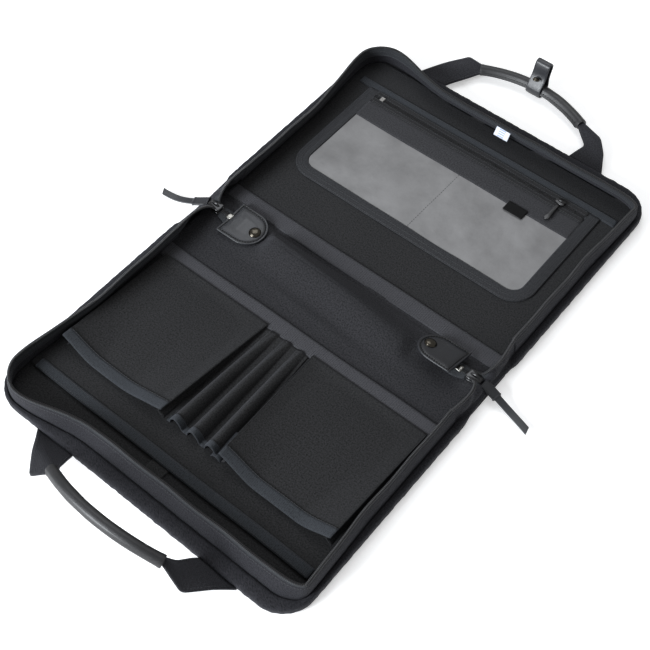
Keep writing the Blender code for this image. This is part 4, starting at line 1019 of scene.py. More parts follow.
def u_line(half, low, high, radius, corner=20, straight=60):
    """A U: down the left side, round two lower corners, and up the right side."""
    turn = np.linspace(0, math.pi / 2, corner)
    fall = np.linspace(high, low + radius, straight, endpoint=False)
    left = np.stack([np.full(straight, -half), fall], 1)
    bend = np.stack([-half + radius - radius * np.cos(turn), low + radius - radius * np.sin(turn)], 1)
    bottom = np.linspace(-half + radius, half - radius, straight + 2)[1:-1]
    base = np.stack([bottom, np.full(straight, low)], 1)
    mirror = np.array([-1.0, 1.0])
    return np.concatenate([left, bend, base, bend[::-1] * mirror, left[::-1] * mirror])


def frame_band():
    """The U carried outwards in steps; the tape is domed and dips at its stitches."""
    count = 12
    steps = np.linspace(0, 1, count)
    rows = []
    for share in steps:
        grow = share * FRAME_WIDTH
        radius = WINDOW_CORNER - FRAME_WIDTH + grow
        line = u_line(VINYL_HIGH.x + grow, VINYL_LOW.y - grow, FRAME_HIGH.y, radius)
        dip = FRAME_DIP * math.exp(-((share - 0.5) / 0.06) ** 2)
        dome = FRAME_EDGE + FRAME_DOME * math.sin(math.pi * share) ** 0.5 - dip
        swell = 0.0002 * ripple(line[:, 0] + line[:, 1], 51, 4, 0.05)
        rows.append(np.column_stack([line, FRAME_LOW.z + dome + swell]))
    return np.stack(rows, 0)


FRAME_TAPE = cloth("frame_tape", (0.008, 0.008, 0.009), (0.036, 0.037, 0.040), 0.0012, 0.0007, 0.00016,
                   0.68, 0.08)
band = frame_band()
fix(thicken(surface("window_frame_tape", band, FRAME_TAPE, facing=(0, 0, 1)), 0.0009), "window_tray",
    "binding_tape", "window_frame_binding")
for row, column in enumerate((1, 6, 10)):
    thread = stitches(f"frame_stitches_{row + 1}", band[column] + np.array([0, 0, 0.00025]), (0, 0, 1))
    fix(thread, "window_tray", "binding_tape")

band_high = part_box("window_pocket_band")[1]
rows = np.linspace(VINYL_LOW.y - 0.003, VINYL_HIGH.y + 0.004, 60)
grid_x, grid_y = np.meshgrid(np.linspace(VINYL_LOW.x - 0.002, VINYL_HIGH.x + 0.002, 120), rows)
vinyl_z = VINYL_HIGH.z + 0.00015 * ripple(grid_x + 0.4 * grid_y, 61, 4, 0.07)
piece = surface("vinyl_window", np.stack([grid_x, grid_y, vinyl_z], -1), VINYL, facing=(0, 0, 1))
corner = WINDOW_CORNER - FRAME_WIDTH + 0.003
hidden = np.clip((corner - (grid_y - rows[0])) / corner, 0, 1)
limit = VINYL_HIGH.x + 0.003 - corner * (1 - np.sqrt(np.clip(1 - hidden ** 2, 0, 1)))
flat_points = np.stack([np.clip(grid_x, -limit, limit), grid_y, vinyl_z], -1).reshape(-1, 3)
piece.data.vertices.foreach_set("co", flat_points.astype(np.float32).ravel())
fix(thicken(piece, 0.0003), "window_tray", "clear_vinyl", "window_sheet")
divide = np.stack([DIVIDE_X + DIVIDE_SLANT * np.linspace(-1, 1, 20),
                   np.linspace(VINYL_LOW.y, VINYL_HIGH.y, 20), np.full(20, VINYL_HIGH.z + 0.0002)], 1)
DARK_THREAD = plain_look("dark_thread", (0.012, 0.012, 0.012), 0.6, scale=3000.0)
thread = stitches("divider_stitches", divide, (0, 0, 1), DARK_THREAD, 0.0034, 0.0020, 0.0006)
fix(thread, "window_tray", "clear_vinyl")

BAND_CLOTH = cloth("band_cloth", (0.012, 0.012, 0.013), (0.046, 0.046, 0.050), 0.0009)
BAND_HALF = VINYL_HIGH.x + 0.001
tape_level = VINYL_HIGH.z + CLOTH_GAP
tape_gap = (band_high.y + 0.0066, band_high.y + 0.0106)
for part_name, outs, height, look, nodes in (
        ("window_upper_band", (VINYL_HIGH.y - CLOTH_GAP, band_high.y + 0.001), VINYL_HIGH.z - 0.0002,
         BAND_CLOTH, ["window_pocket_band"]),
        ("pocket_tape_low", (band_high.y, tape_gap[0]), tape_level, LINING_CLOTH, ["pocket_zip_tape"]),
        ("pocket_tape_high", (tape_gap[1], FRAME_HIGH.y + 0.001), tape_level, LINING_CLOTH, [])):
    strip(part_name, 1, outs, height, 0.0007, look, half=BAND_HALF, body="window_tray", nodes=nodes,
          seed=71, seam=0.0012)

# ---- pocket zip ---------------------------------------------------------------------------
# A fine coil zip between the band and the top webbing, with a pressed metal stop at its left
# end and a cast slider near the right.  The slider's pull hangs towards the spine.
CAST_METAL = plain_look("black_metal", (0.024, 0.024, 0.025), 0.30, 0.8, 0.3, 0.12, 1200.0)
STOP_METAL = plain_look("stop_metal", (0.14, 0.135, 0.13), 0.3, 1.0, 0.0, 0.1, 1500.0, on_cad=True)
POCKET_COIL = {"pitch": 0.00125, "length": 0.0022, "width": 0.0009, "height": 0.0013, "sides": 5,
               "turn": math.pi / 2}
coil_low, coil_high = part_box("pocket_zip_coil")
coil_y = 0.5 * (coil_low.y + coil_high.y)
for row, shift in enumerate((-0.0011, 0.0011)):
    line = np.stack([np.linspace(coil_low.x, coil_high.x, 60), np.full(60, coil_y + shift),
                     np.full(60, coil_low.z + 0.0006)], 1)
    piece = beads(f"pocket_coil_{row + 1}", line, (0, 0, 1), TEETH_NYLON, **POCKET_COIL)
    fix(piece, "window_tray", "zip_teeth", *(["pocket_zip_coil"] if row == 0 else []))
groove_outs = (band_high.y + 0.0060, band_high.y + 0.0112)
strip("pocket_zip_groove", 1, groove_outs, VINYL_HIGH.z - 0.0006, 0.0005, LINING_CLOTH, half=BAND_HALF,
      body="window_tray", seed=71, seam=0.0001)
dress("pocket_zip_stop", STOP_METAL)


def rounded_slab(name, outline, low, high, look, round_off=0.0006, dome=0.0, groove=0.0):
    """An outline raised between two heights: the rings run bottom, lower bevel, upper bevel
    and top, each a little inside the last where the edge is rounded, then in to the middle.
    A groove sinks the ring at that distance from the edge."""
    outline = np.asarray(outline, float)
    centre = outline.mean(axis=0)
    from_centre = outline - centre
    size = np.linalg.norm(from_centre, axis=1, keepdims=True)
    rings = []
    soft = 0.3 * round_off
    levels = [(0.55, low, 0), (round_off, low, 0), (soft, low + soft, 0), (0, low + round_off, 0),
              (0, high - round_off, 0), (soft, high - soft, 0), (round_off, high, 0.1),
              (2.5 * round_off, high, 0.35), (0.35, high, 0.8), (0.6, high, 1.0)]
    if groove:
        levels[7:8] = [(groove - 0.0008, high, 0.3), (groove, high - 0.0007, 0.3),
                       (groove + 0.0010, high, 0.4)]
    for inset, height, swell in levels:
        shrink = 1 - inset if inset > 0.05 else 1 - inset / size
        level = np.full(len(outline), height + dome * swell)
        rings.append(np.column_stack([centre + from_centre * shrink, level]))
    return surface(name, np.stack(rings, 0), look, closed=True)


def arc_points(centre, radius, start, end, count):
    """Points on an arc, angles in degrees."""
    turn = np.radians(np.linspace(start, end, count))
    return np.stack([centre[0] + radius * np.cos(turn), centre[1] + radius * np.sin(turn)], 1)


def joint_place(name):
    """Where a joint is in the record, and its axis."""
    found = [j for j in frame["record"]["behaviour"]["joints"] if j["name"] == name][0]
    return np.array(found.get("pos_m", (0, 0, 0)), float), np.array(found["axis"], float)


low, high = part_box("pocket_zip_slider")
mid = np.array([(low.x + high.x) / 2, (low.y + high.y) / 2])
half_shape = np.array([(-5.6, 2.6), (-4.6, 3.1), (1.5, 4.2), (3.4, 4.2), (5.4, 2.9), (5.6, 1.2),
                       (4.2, 0.0)]) / 1000
shape = mid + np.concatenate([half_shape * (1, -1), half_shape[-2::-1]])
piece = rounded_slab("pocket_slider_body", shape, low.z, high.z - 0.0004, CAST_METAL, 0.0005, 0.0003)
fix(piece, "pocket_slider", "dark_metal", "pocket_zip_slider")
bridge_path = np.stack([mid[0] + 0.0042 * np.linspace(-1, 1, 15), np.full(15, mid[1]),
                        high.z - 0.0006 + 0.0016 * np.sin(np.linspace(0, math.pi, 15))], 1)


def tube(name, path, radius, look, sides=12, up=(0, 0, 1), flat=1.0):
    """A round or flattened bar along a line of points; the radius may vary along it."""
    path = np.asarray(path, float)
    way = unit(np.gradient(path, axis=0))
    across = unit(np.cross(way, np.broadcast_to(np.asarray(up, float), way.shape)))
    rise = np.cross(across, way)
    turn = np.linspace(0, 2 * math.pi, sides, endpoint=False)
    radius = np.broadcast_to(np.asarray(radius, float), (len(path),))[:, None, None]
    points = path[:, None] + radius * (across[:, None] * np.cos(turn)[None, :, None]
                                       + flat * rise[:, None] * np.sin(turn)[None, :, None])
    return surface(name, points, look, closed=True)


fix(tube("pocket_slider_bridge", bridge_path, 0.0007, CAST_METAL, 10), "pocket_slider", "dark_metal")
place, _ = joint_place("pocket_pull_swing")
head = arc_points((place[0], place[1] - 0.0012), 0.0016, 180, 0, 9)
foot = arc_points((place[0], place[1] - 0.0215), 0.0031, 20, -200, 16)
waist = [(place[0] + side * 0.0019, place[1] - 0.010) for side in (1, -1)]
pull_outline = np.concatenate([head, waist[:1], foot, waist[1:]])
piece = rounded_slab("pocket_pull_tag", pull_outline, place[2] - 0.0007, place[2] + 0.0009, CAST_METAL,
                     0.0005, 0.0002)
fix(piece, "pocket_pull", "dark_metal", "pocket_zip_pull")

# ---- labels -------------------------------------------------------------------------------
# A blank black woven label hangs over the vinyl from the band, and a small folded white and
# blue satin tag hangs from the rim's tape.
LABEL_BLACK = cloth("black_label", (0.0015, 0.0015, 0.0015), (0.006, 0.006, 0.006), 0.0004,
                    depth=0.00006, sheen=0.0)
low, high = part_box("pocket_label")
grid_x, grid_y = np.meshgrid(np.linspace(low.x, high.x, 20), np.linspace(low.y, high.y, 14))
swell = np.sin(math.pi * (grid_x - low.x) / (high.x - low.x))
label_z = high.z + 0.0003 + 0.0005 * swell * (high.y - grid_y) / (high.y - low.y)
label_points = np.stack([grid_x, grid_y, label_z], -1)
piece = surface("woven_label", label_points, LABEL_BLACK, facing=(0, 0, 1))
fix(thicken(piece, 0.0005), "window_tray", "black_label", "pocket_label")
declare_cloth(label_points)


def satin_look():
    """White satin with a pale blue printed panel, from the tag's own metres."""
    made, tree, shader, place = start_material("care_satin", False)
    split = tree.nodes.new("ShaderNodeSeparateXYZ")
    feed(tree, split.inputs[0], place)
    from_middle = calc(tree, "ABSOLUTE", calc(tree, "ADD", split.outputs["X"], 0.0005))
    panel = calc(tree, "LESS_THAN", from_middle, 0.0042)
    wave = calc(tree, "SINE", calc(tree, "MULTIPLY", split.outputs["Y"], 2600.0))
    rows = calc(tree, "GREATER_THAN", wave, -0.2)
    share = calc(tree, "MULTIPLY", calc(tree, "MULTIPLY", panel, rows), 0.8)
    feed(tree, shader.inputs["Base Color"],
         mix_colour(tree, share, (0.66, 0.70, 0.80, 1.0), (0.12, 0.20, 0.42, 1.0)))
    feed(tree, shader.inputs["Roughness"],
         calc(tree, "MULTIPLY_ADD", noise(tree, place, 900.0, 2.0), 0.2, 0.35))
    return made


low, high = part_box("care_label")
share = np.linspace(0, 1, 12)[:, None]
grid_x = np.linspace(low.x, high.x, 16)[None, :] + 0 * share
tag_y = high.y - (high.y - low.y) * share - 0.0010 - 0.0016 * share ** 2 + 0 * grid_x
tag_z = high.z - (high.z - low.z) * share + 0 * grid_x
tag_points = np.stack([grid_x, tag_y, tag_z], -1)
piece = surface("care_tag", tag_points, satin_look(), facing=(0, -1, 0.2))
fix(thicken(piece, 0.0005), "window_tray", "white_label", "care_label")
declare_cloth(tag_points)

# ---- leather tabs and snaps ---------------------------------------------------------------
# A D of smooth black leather at each end of the spine covers the end of the zip.  Its edge is
# stitched with sunken black thread, and a domed snap cap goes down on a stud.


def leather_look(name, colour, rough=0.34, coat=0.25, on_cad=False):
    """Pebbled cells from a Voronoi edge distance over a fine noise, with a painted highlight that makes the
    cell tops lighter in colour.
    """
    made, tree, shader, place = start_material(name, on_cad)
    cells = tree.nodes.new("ShaderNodeTexVoronoi")
    cells.feature = "DISTANCE_TO_EDGE"
    cells.inputs["Scale"].default_value = 1150.0
    feed(tree, cells.inputs["Vector"], place)
    pebble = calc(tree, "MINIMUM", calc(tree, "MULTIPLY", cells.outputs["Distance"], 3.0), 1.0)
    fine = noise(tree, place, 2600.0, 3.0)
    cloud = noise(tree, place, 45.0, 3.0)
    height = calc(tree, "MULTIPLY_ADD", fine, 0.35, calc(tree, "MULTIPLY", pebble, 0.65))
    # Painted highlight: the base colour is lighter on the pebble tops and darker in the grooves between them,
    # in patches from the slow cloud noise.
    light = tuple(c * 2.2 + 0.004 for c in colour)
    feed(tree, shader.inputs["Base Color"],
         mix_colour(tree, calc(tree, "MULTIPLY", pebble, cloud), (*colour, 1.0), (*light, 1.0)))
    feed(tree, shader.inputs["Roughness"], calc(tree, "MULTIPLY_ADD", cloud, 0.20, rough - 0.10))
    shader.inputs["Coat Weight"].default_value = coat
    shader.inputs["Coat Roughness"].default_value = 0.28
    add_bump(tree, shader, height, 0.00010)
    return made


LEATHER = leather_look("smooth_leather", (0.008, 0.009, 0.012), 0.40, 0.2)
HOLE_THREAD = plain_look("sunk_thread", (0.0012, 0.0012, 0.0012), 0.85, scale=3000.0)
SNAP_METAL = plain_look("snap_metal", (0.046, 0.041, 0.033), 0.24, 1.0, 0.0, 0.2, 900.0)
SNAP_STUD = plain_look("snap_stud", (0.15, 0.14, 0.13), 0.35, 1.0, 0.0, 0.2, 900.0, on_cad=True)


def turned(name, profile, look, sides=40):
    """A profile of (radius, height) turned about Z at the origin, both ends closed."""
    turn = np.linspace(0, 2 * math.pi, sides, endpoint=False)
    profile = np.asarray(profile, float)
    points = np.stack([profile[:, :1] * np.cos(turn), profile[:, :1] * np.sin(turn),
                       np.broadcast_to(profile[:, 1:], (len(profile), sides))], -1)
    return surface(name, points, look, closed=True)


def lay(piece, matrix):
    """Put a finished mesh in its place for good."""
    piece.data.transform(matrix)
    piece.data.update()
    return piece


TAB_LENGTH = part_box("left_snap_tab")[1].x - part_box("left_snap_tab")[0].x
TAB_HALF = 0.5 * (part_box("left_snap_tab")[1].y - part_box("left_snap_tab")[0].y)
TAB_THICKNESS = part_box("left_snap_tab")[1].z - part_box("left_snap_tab")[0].z
TAB_CURL, TAB_SEAM_INSET = 0.0009, 0.0030
CAP_SETBACK, CAP_RADIUS = 0.0115, 0.0066
cap_curve = ((0.97, 0.0001), (1.0, 0.0005), (0.99, 0.0008), (0.95, 0.0009), (0.93, 0.0013), (0.85, 0.0021),
             (0.72, 0.0027), (0.55, 0.0031), (0.36, 0.0034), (0.16, 0.00355))
cap_profile = [(0.0002, 0.0001)] + [(CAP_RADIUS * share, z) for share, z in cap_curve] + [(0.0002, 0.0036)]
for side_name, end in (("left", -1), ("right", 1)):
    place, axis = joint_place(side_name + "_tab_lift")
    tilt = math.asin(abs(axis[2]) / np.linalg.norm(axis))
    put = Matrix.Translation(Vector(place)) @ Matrix.Rotation(-tilt, 4, "X")
    nose = arc_points((-end * (TAB_LENGTH - TAB_HALF), 0.0), TAB_HALF, 90, 270, 40) * np.array([end, 1.0])
    nose[:, 0] = -end * (TAB_LENGTH - TAB_HALF) - end * np.abs(nose[:, 0] - nose[0, 0])
    run = np.linspace(0, 1, 10, endpoint=False)[:, None]
    first, last = np.array([0.0, TAB_HALF]), np.array([0.0, -TAB_HALF])
    upper, lower = first + (nose[0] - first) * run, nose[-1] + (last - nose[-1]) * run
    outline = np.concatenate([upper, nose[:-1], lower, last + (first - last) * run])
    leaf = rounded_slab(side_name + "_tab_leather", outline, 0.0, TAB_THICKNESS, LEATHER, 0.0007, 0.0004,
                        TAB_SEAM_INSET)
    bent = np.zeros(len(leaf.data.vertices) * 3, np.float32)
    leaf.data.vertices.foreach_get("co", bent)
    bent = bent.reshape(-1, 3).astype(float)
    bent[:, 2] += TAB_CURL * (np.abs(bent[:, 1]) / TAB_HALF) ** 2
    leaf.data.vertices.foreach_set("co", bent.astype(np.float32).ravel())
    fix(lay(leaf, put), side_name + "_tab", "leather", side_name + "_snap_tab")
    middle = outline.mean(axis=0)
    reach = np.linalg.norm(outline - middle, axis=1, keepdims=True)
    inner = middle + (outline - middle) * (1 - TAB_SEAM_INSET / reach)
    seam = np.column_stack([inner, TAB_THICKNESS + 0.0002 + TAB_CURL * (inner[:, 1] / TAB_HALF) ** 2])
    seam = np.concatenate([seam, seam[:1]])
    thread = beads(side_name + "_tab_stitches", seam, (0, 0, 1), HOLE_THREAD, 0.0029, 0.0018, 0.0015,
                   0.0012)
    fix(lay(thread, put), side_name + "_tab", "leather")
    cap_x = -end * (TAB_LENGTH - CAP_SETBACK)
    spot = Matrix.Translation((cap_x, 0.0, TAB_THICKNESS + 0.0003))
    piece = lay(turned(side_name + "_snap_dome", cap_profile, SNAP_METAL), put @ spot)
    fix(piece, side_name + "_tab", "snap_metal", side_name + "_snap_cap")
    dress(side_name + "_snap_stud", SNAP_STUD)

# ---- main sliders, zip tails and pulls ----------------------------------------------------
# The zip runs out under each tab as a paler tail of tape with its last teeth and a bright
# metal box.  A black cast slider stands there, with a strap of leather for a pull: a wide
# sewn root folded through the slider, then a narrow tail.
BRIGHT_METAL = plain_look("tail_metal", (0.22, 0.215, 0.20), 0.28, 1.0, 0.0, 0.1, 1200.0)
TAIL_COIL = {"pitch": 0.0016, "length": 0.0050, "width": 0.0012, "height": 0.0016, "turn": math.pi / 2}
TAIL_THICKNESS, TAIL_BOX_HALF = 0.0008, (0.0030, 0.0034)
SLIDER_PLAN = ((0.0, 0.0048), (0.12, 0.0058), (0.38, 0.0060), (0.70, 0.0048), (0.93, 0.0040), (1.0, 0.0028))
PULL_REST = 0.0040
PULL_ROOT_END, PULL_NARROWING = 0.27, 0.06
for side_name, end in (("left", -1), ("right", 1)):
    low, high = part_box(side_name + "_zip_end")
    along = np.linspace(low.x, high.x + (0.003 if end < 0 else 0), 26)[None, :]
    cross = np.linspace(-1, 1, 14)[:, None]
    narrow = np.abs(along)
    half = 0.0088 - 0.0030 * ease((narrow - 0.148) / 0.018)
    tail_z = high.z + 0.0004 + 0.0032 * ease((narrow - 0.140) / 0.022) - 0.0012 * cross ** 2
    points = np.stack([along + 0 * cross, half * cross, tail_z], -1)
    piece = thicken(surface(side_name + "_zip_tail", points, TAPE_CLOTH, facing=(0, 0, 1)), TAIL_THICKNESS)
    fix(piece, "spine", "zip_tape", side_name + "_zip_end")
    middle = points[7]
    teeth_line = middle + np.array([0, 0, 0.0006])
    piece = beads(side_name + "_tail_teeth", teeth_line, (0, 0, 1), TEETH_NYLON, **TAIL_COIL)
    fix(piece, "spine", "zip_teeth")
    at = middle[14 if end > 0 else 11]
    box_outline = at[:2] + np.array(TAIL_BOX_HALF) * ((-1, -1), (1, -1), (1, 1), (-1, 1))
    box_outline = np.concatenate([box_outline[k] + (box_outline[(k + 1) % 4] - box_outline[k])
                                  * np.linspace(0, 1, 5, endpoint=False)[:, None] for k in range(4)])
    piece = rounded_slab(side_name + "_tail_box", box_outline, at[2] - 0.0004, at[2] + 0.0020, BRIGHT_METAL,
                         0.0005, 0.0002)
    fix(piece, "spine", "dark_metal")
    low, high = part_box(side_name + "_zip_slider")
    inner_x, outer_x = (low.x, high.x) if end > 0 else (high.x, low.x)
    reach = outer_x - inner_x
    outline = np.array([(inner_x + share * reach, -half) for share, half in SLIDER_PLAN]
                       + [(inner_x + share * reach, half) for share, half in SLIDER_PLAN[::-1]])
    mid_z = 0.5 * (low.z + high.z)
    post = arc_points((inner_x + 0.45 * reach, 0.0), 0.0026, 0, 345, 24)
    for part_name, shape, bottom, top, round_off, dome, nodes in (
            ("top", outline, mid_z + 0.0010, high.z - 0.0006, 0.0008, 0.0006, [side_name + "_zip_slider"]),
            ("base", outline, low.z, mid_z - 0.0010, 0.0007, 0.0, []),
            ("post", post, mid_z - 0.0012, mid_z + 0.0012, 0.0002, 0.0, [])):
        piece = rounded_slab(f"{side_name}_slider_{part_name}", shape, bottom, top, CAST_METAL, round_off,
                             dome)
        fix(piece, "spine", "dark_metal", *nodes)
    arch = np.linspace(0, math.pi, 17)
    bridge_x = inner_x + reach * (0.52 - 0.30 * np.cos(arch))
    loop = np.stack([bridge_x, 0 * arch, high.z - 0.0009 + 0.0026 * np.sin(arch)], 1)
    fix(tube(side_name + "_slider_bridge", loop, 0.0011, CAST_METAL, 10), "spine", "dark_metal")
    place, _ = joint_place(side_name + "_pull_swing")
    share = np.linspace(0, 1, 60)
    drop = place[2] - PULL_REST
    tail = 0.054 + 0.003 * (end + 1)
    drift = 0.012 * share ** 1.6 if end > 0 else 0.015 * np.sin(share * math.pi / 2)
    line = np.stack([place[0] + end * tail * share, -drift,
                     place[2] - drop * np.sin(np.minimum(1.0, 1.35 * share) * math.pi / 2)], 1)
    past_root = ease((share - PULL_ROOT_END) / PULL_NARROWING)
    wide = 0.0054 - 0.0015 * past_root
    thick = 0.0015 - 0.0006 * past_root
    way = unit(np.gradient(line, axis=0))
    across = unit(np.cross(way, (0, 0, 1.0)))
    rise = np.cross(across, way)
    turn = np.linspace(0, 2 * math.pi, 20, endpoint=False)
    box_cos, box_sin = squared(np.cos(turn), 0.35), squared(np.sin(turn), 0.55)
    slant = 0.0022 * ease((share - 0.9) / 0.1)
    points = (line[:, None] + across[:, None] * (wide[:, None] * box_cos[None])[:, :, None]
              + rise[:, None] * (thick[:, None] * box_sin[None])[:, :, None]
              + way[:, None] * (slant[:, None] * box_cos[None])[:, :, None])
    piece = surface(side_name + "_pull_strap", points, LEATHER, closed=True)
    fix(piece, side_name + "_pull", "leather", side_name + "_zip_pull")
    for row, offset in enumerate((-0.0042, 0.0042)):
        root = slice(2, 18)
        seam = (line + across * offset + rise * (thick[:, None] + 0.0001))[root]
        name = f"{side_name}_pull_stitches_{row + 1}"
        thread = stitches(name, seam, rise[9], LEATHER_THREAD, 0.0026, 0.0018)
        fix(thread, side_name + "_pull", "leather")
    band_path = np.stack([line[17] + way[17] * step for step in (-0.0010, -0.0006, 0.0006, 0.0010)])
    piece = tube(side_name + "_pull_keeper", band_path, np.array([0.0054, 0.0060, 0.0060, 0.0054]), LEATHER,
                 16, flat=0.36)
    fix(piece, side_name + "_pull", "leather")

# ---- handles ------------------------------------------------------------------------------
# Each handle is a strap of wide webbing folded at both ends and sewn into the tray's edge;
# between them it is wrapped in leather, sewn along the side that faces the case.
GRIP_RADIUS = 0.0064
GRIP_HALF, HANDLE_DROP, HANDLE_BOW = 0.069, 0.045, 0.0165
STRAP_THICKNESS = 0.0021
HANDLE_WEBBING = cloth("handle_webbing", (0.006, 0.006, 0.007), (0.032, 0.032, 0.037), 0.0016, 0.0010,
                       0.00025, 0.74, 0.08)
GRIP_LEATHER = leather_look("grip_leather", (0.004, 0.004, 0.005), 0.46, 0.12)
rest_angle = {"near": math.radians(50), "far": math.radians(5)}


def handle_matrix(prefix, side):
    """The handle's own frame: Y points away from the case, turned up by its angle."""
    place, _ = joint_place(prefix + "_handle_swing")
    spin = Matrix.Rotation(0.0 if side > 0 else math.pi, 4, "Z")
    return Matrix.Translation(Vector(place)) @ spin @ Matrix.Rotation(rest_angle[prefix], 4, "X")


STRAP_EDGES = {
    ("near", "left"): ([(0.083, -0.003, 0.0), (0.072, 0.028, 0.0), (0.061, 0.0455, 0.0)],
                       [(0.130, -0.003, 0.0), (0.108, 0.024, -0.008), (0.084, 0.0485, -0.016),
                        (0.063, 0.0485, 0.001)]),
    ("near", "right"): ([(0.077, -0.003, 0.0), (0.071, 0.028, 0.0), (0.061, 0.0455, 0.0)],
                        [(0.122, -0.003, 0.0), (0.110, 0.018, -0.005), (0.095, 0.0395, -0.014),
                         (0.063, 0.0485, 0.001)]),
    ("far", "left"): ([(0.088, 0.0, 0.0), (0.074, 0.025, 0.0), (0.061, 0.0455, 0.0)],
                      [(0.124, 0.0, 0.0), (0.104, 0.033, 0.001), (0.090, 0.0525, 0.001),
                       (0.063, 0.0500, 0.001)]),
    ("far", "right"): ([(0.082, 0.0, 0.0), (0.088, 0.022, 0.0), (0.061, 0.0455, 0.0)],
                       [(0.124, 0.0, 0.0), (0.112, 0.022, 0.002), (0.097, 0.0400, 0.002),
                        (0.063, 0.0500, 0.001)])}


def bent_line(stops, count, loose=0.35):
    """A smooth line near the given stops: straight pieces, averaged over a short run."""
    stops = np.asarray(stops, float)
    along = np.concatenate([[0], np.cumsum(np.linalg.norm(np.diff(stops, axis=0), axis=1))])
    share = np.linspace(0, 1, count)
    spread = np.linspace(-0.5, 0.5, 9)[:, None] * loose * np.minimum(share, 1 - share)[None]
    at = (share[None] + spread) * along[-1]
    return np.stack([np.interp(at, along, stops[:, k]).mean(axis=0) for k in range(3)], 1)


def strap_grid(local, edges):
    """Ruled between the strap's two edges, from its root to inside the grip, with a low
    swell across it; the outer edge has the turned corner where the webbing folds back."""
    inner, outer = bent_line(edges[0], 34), bent_line(edges[1], 34, 0.22)
    cross = np.linspace(0, 1, 18)[None, :, None]
    grid = inner[:, None] * (1 - cross) + outer[:, None] * cross
    share = np.linspace(0, 1, 34)[:, None]
    flat = cross[:, :, 0]
    swell = 0.0016 * np.sin(math.pi * share) * np.sin(math.pi * flat)
    grid[:, :, 2] += swell + 0.0005 * np.sin(2 * math.pi * (flat + 1.3 * share))
    grid[:, :, 0] *= local
    return grid


for prefix, side in (("near", -1), ("far", 1)):
    put = handle_matrix(prefix, side)
    body = prefix + "_handle"
    for end_name, end in (("left", -1), ("right", 1)):
        local = end * side
        grid = strap_grid(local, STRAP_EDGES[prefix, end_name])
        strap = surface(f"{prefix}_{end_name}_webbing", grid, HANDLE_WEBBING, facing=(0, 0, 1))
        strap = lay(thicken(strap, STRAP_THICKNESS, 0.0), put)
        fix(strap, body, "webbing", f"{prefix}_handle_{end_name}_strap")
        for row, column in enumerate((1, 16)):
            seam = grid[1:-1, column] + np.array([0, 0, 0.0012])
            thread = stitches(f"{prefix}_{end_name}_strap_stitches_{row + 1}", seam, (0, 0, 1))
            fix(lay(thread, put), body, "webbing")
    share = np.linspace(-1, 1, 70)
    line = np.stack([GRIP_HALF * share, HANDLE_DROP + HANDLE_BOW * (1 - share ** 2), 0 * share], 1)
    way = unit(np.gradient(line, axis=0))
    inward = np.cross(way, (0, 0, 1.0))
    inward *= -np.sign(inward[:, 1:2])
    turn = np.linspace(0, 2 * math.pi, 32, endpoint=False)
    lip = 1 + 0.42 * np.exp(-((((turn + math.pi) % (2 * math.pi)) - math.pi) / 0.30) ** 2)
    collar = 1 + 0.05 * np.exp(-((np.abs(share) - 0.975) / 0.02) ** 2)
    crumple = 1 + 0.012 * ripple(share * 0.07, 81, 5, 0.012)
    size = GRIP_RADIUS * (collar * crumple)[:, None] * np.broadcast_to(lip, (70, 32))
    flat = np.where(np.abs(np.cos(turn)) > 0.9, 0.8, 1.0)
    lift = GRIP_RADIUS * 0.98 * (collar * crumple)[:, None] * np.sin(turn) * flat
    points = (line[:, None] + inward[:, None] * (size * 0.93 * np.cos(turn))[:, :, None]
              + np.array([0, 0, 1.0]) * lift[:, :, None])
    piece = lay(surface(prefix + "_grip_wrap", points, GRIP_LEATHER, closed=True), put)
    fix(piece, body, "leather", prefix + "_handle_grip")
    seam = line + inward * GRIP_RADIUS * 1.06 + np.array([0, 0, 0.0026])
    piece = stitches(prefix + "_grip_stitches", seam[2:-2], (0, 0, 1), LEATHER_THREAD, 0.0034, 0.0025,
                     0.0006)
    fix(lay(piece, put), body, "leather")

# ---- keeper -------------------------------------------------------------------------------
# A leather strap wraps the far grip and snaps on itself, leaving a long loop that will go
# round the near grip when the case is shut.  It stands up by its own stiffness.
KEEPER_REACH, KEEPER_HALF_THICKNESS = 0.0350, 0.0009
ring, tip = GRIP_RADIUS + 0.0016, 0.0042
place, _ = joint_place("keeper_swing")
keeper_low, keeper_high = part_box("handle_keeper")
keeper_half = 0.55 * (keeper_high.x - keeper_low.x)
lean = math.radians(75)
keeper_root = Vector(((keeper_low.x + keeper_high.x) / 2, place[1], place[2]))
put = Matrix.Translation(keeper_root) @ Matrix.Rotation(lean, 4, "X")
slope = math.degrees(math.asin((ring - tip) / KEEPER_REACH))
round_grip = arc_points((0.0, 0.0), ring + 0.001, 90 - slope, 270 + slope, 30)
round_tip = arc_points((KEEPER_REACH - tip - 0.001, 0.0), tip, 270 + slope, 450 - slope, 20)
pinch = np.linspace(0, 1, 16)[1:-1, None]
upper = round_tip[-1] + (round_grip[0] - round_tip[-1]) * pinch
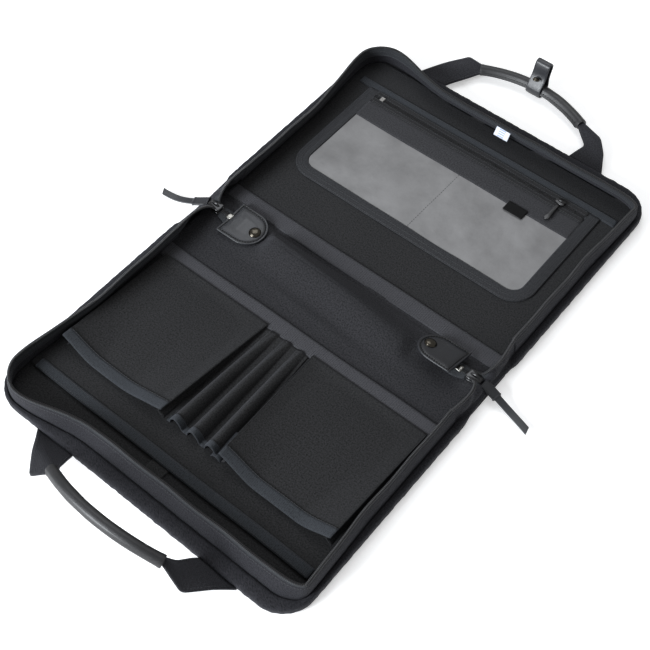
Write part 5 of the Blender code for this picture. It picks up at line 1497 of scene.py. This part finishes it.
lower = round_grip[-1] + (round_tip[0] - round_grip[-1]) * pinch
waist = 0.0022 * np.sin(math.pi * pinch[:, 0]) ** 2
upper[:, 1] -= waist
lower[:, 1] += waist
loop = np.concatenate([round_grip, lower, round_tip, upper])
following, before = np.roll(loop, -1, axis=0), np.roll(loop, 1, axis=0)
along_loop = following - before
away = unit(np.stack([along_loop[:, 1], -along_loop[:, 0]], 1))
turn = np.linspace(0, 2 * math.pi, 18, endpoint=False)
section_x = keeper_half * squared(np.cos(turn), 0.3)
section_n = KEEPER_HALF_THICKNESS * squared(np.sin(turn), 0.6)
points = np.stack([np.broadcast_to(section_x, (len(loop), 18)), loop[:, :1] + away[:, :1] * section_n,
                   loop[:, 1:] + away[:, 1:] * section_n], -1)
points = np.concatenate([points, points[:1]])
keeper_mesh = surface("keeper_loop", points, LEATHER, closed=True)
work = bmesh.new()
work.from_mesh(keeper_mesh.data)
for cap in [f for f in work.faces if len(f.verts) > 4]:
    work.faces.remove(cap)
bmesh.ops.remove_doubles(work, verts=work.verts, dist=0.00001)
bmesh.ops.recalc_face_normals(work, faces=work.faces)
work.to_mesh(keeper_mesh.data)
work.free()
fix(lay(keeper_mesh, put), "keeper", "leather", "handle_keeper")
for row, offset in enumerate((-keeper_half + 0.0018, keeper_half - 0.0018)):
    seam = np.stack([np.full(len(lower), offset), lower[:, 0], lower[:, 1]], 1)[::-1]
    seam[:, 2] -= 0.0011
    thread = stitches(f"keeper_stitches_{row + 1}", seam, (0, 0, -1), LEATHER_THREAD, 0.0030, 0.0021)
    fix(lay(thread, put), "keeper", "leather")
stud_low, stud_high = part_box("keeper_stud")
stud_mid = (stud_low + stud_high) / 2
stud_profile = [(r * 0.62, z * 0.8) for r, z in cap_profile]
upright = Matrix.Rotation(lean - math.pi / 2, 4, "X")
stand = Matrix.Translation(stud_mid) @ upright @ Matrix.Translation((0, 0, -0.0008))
fix(lay(turned("keeper_snap", stud_profile, SNAP_METAL), stand), "keeper", "snap_metal", "keeper_stud")
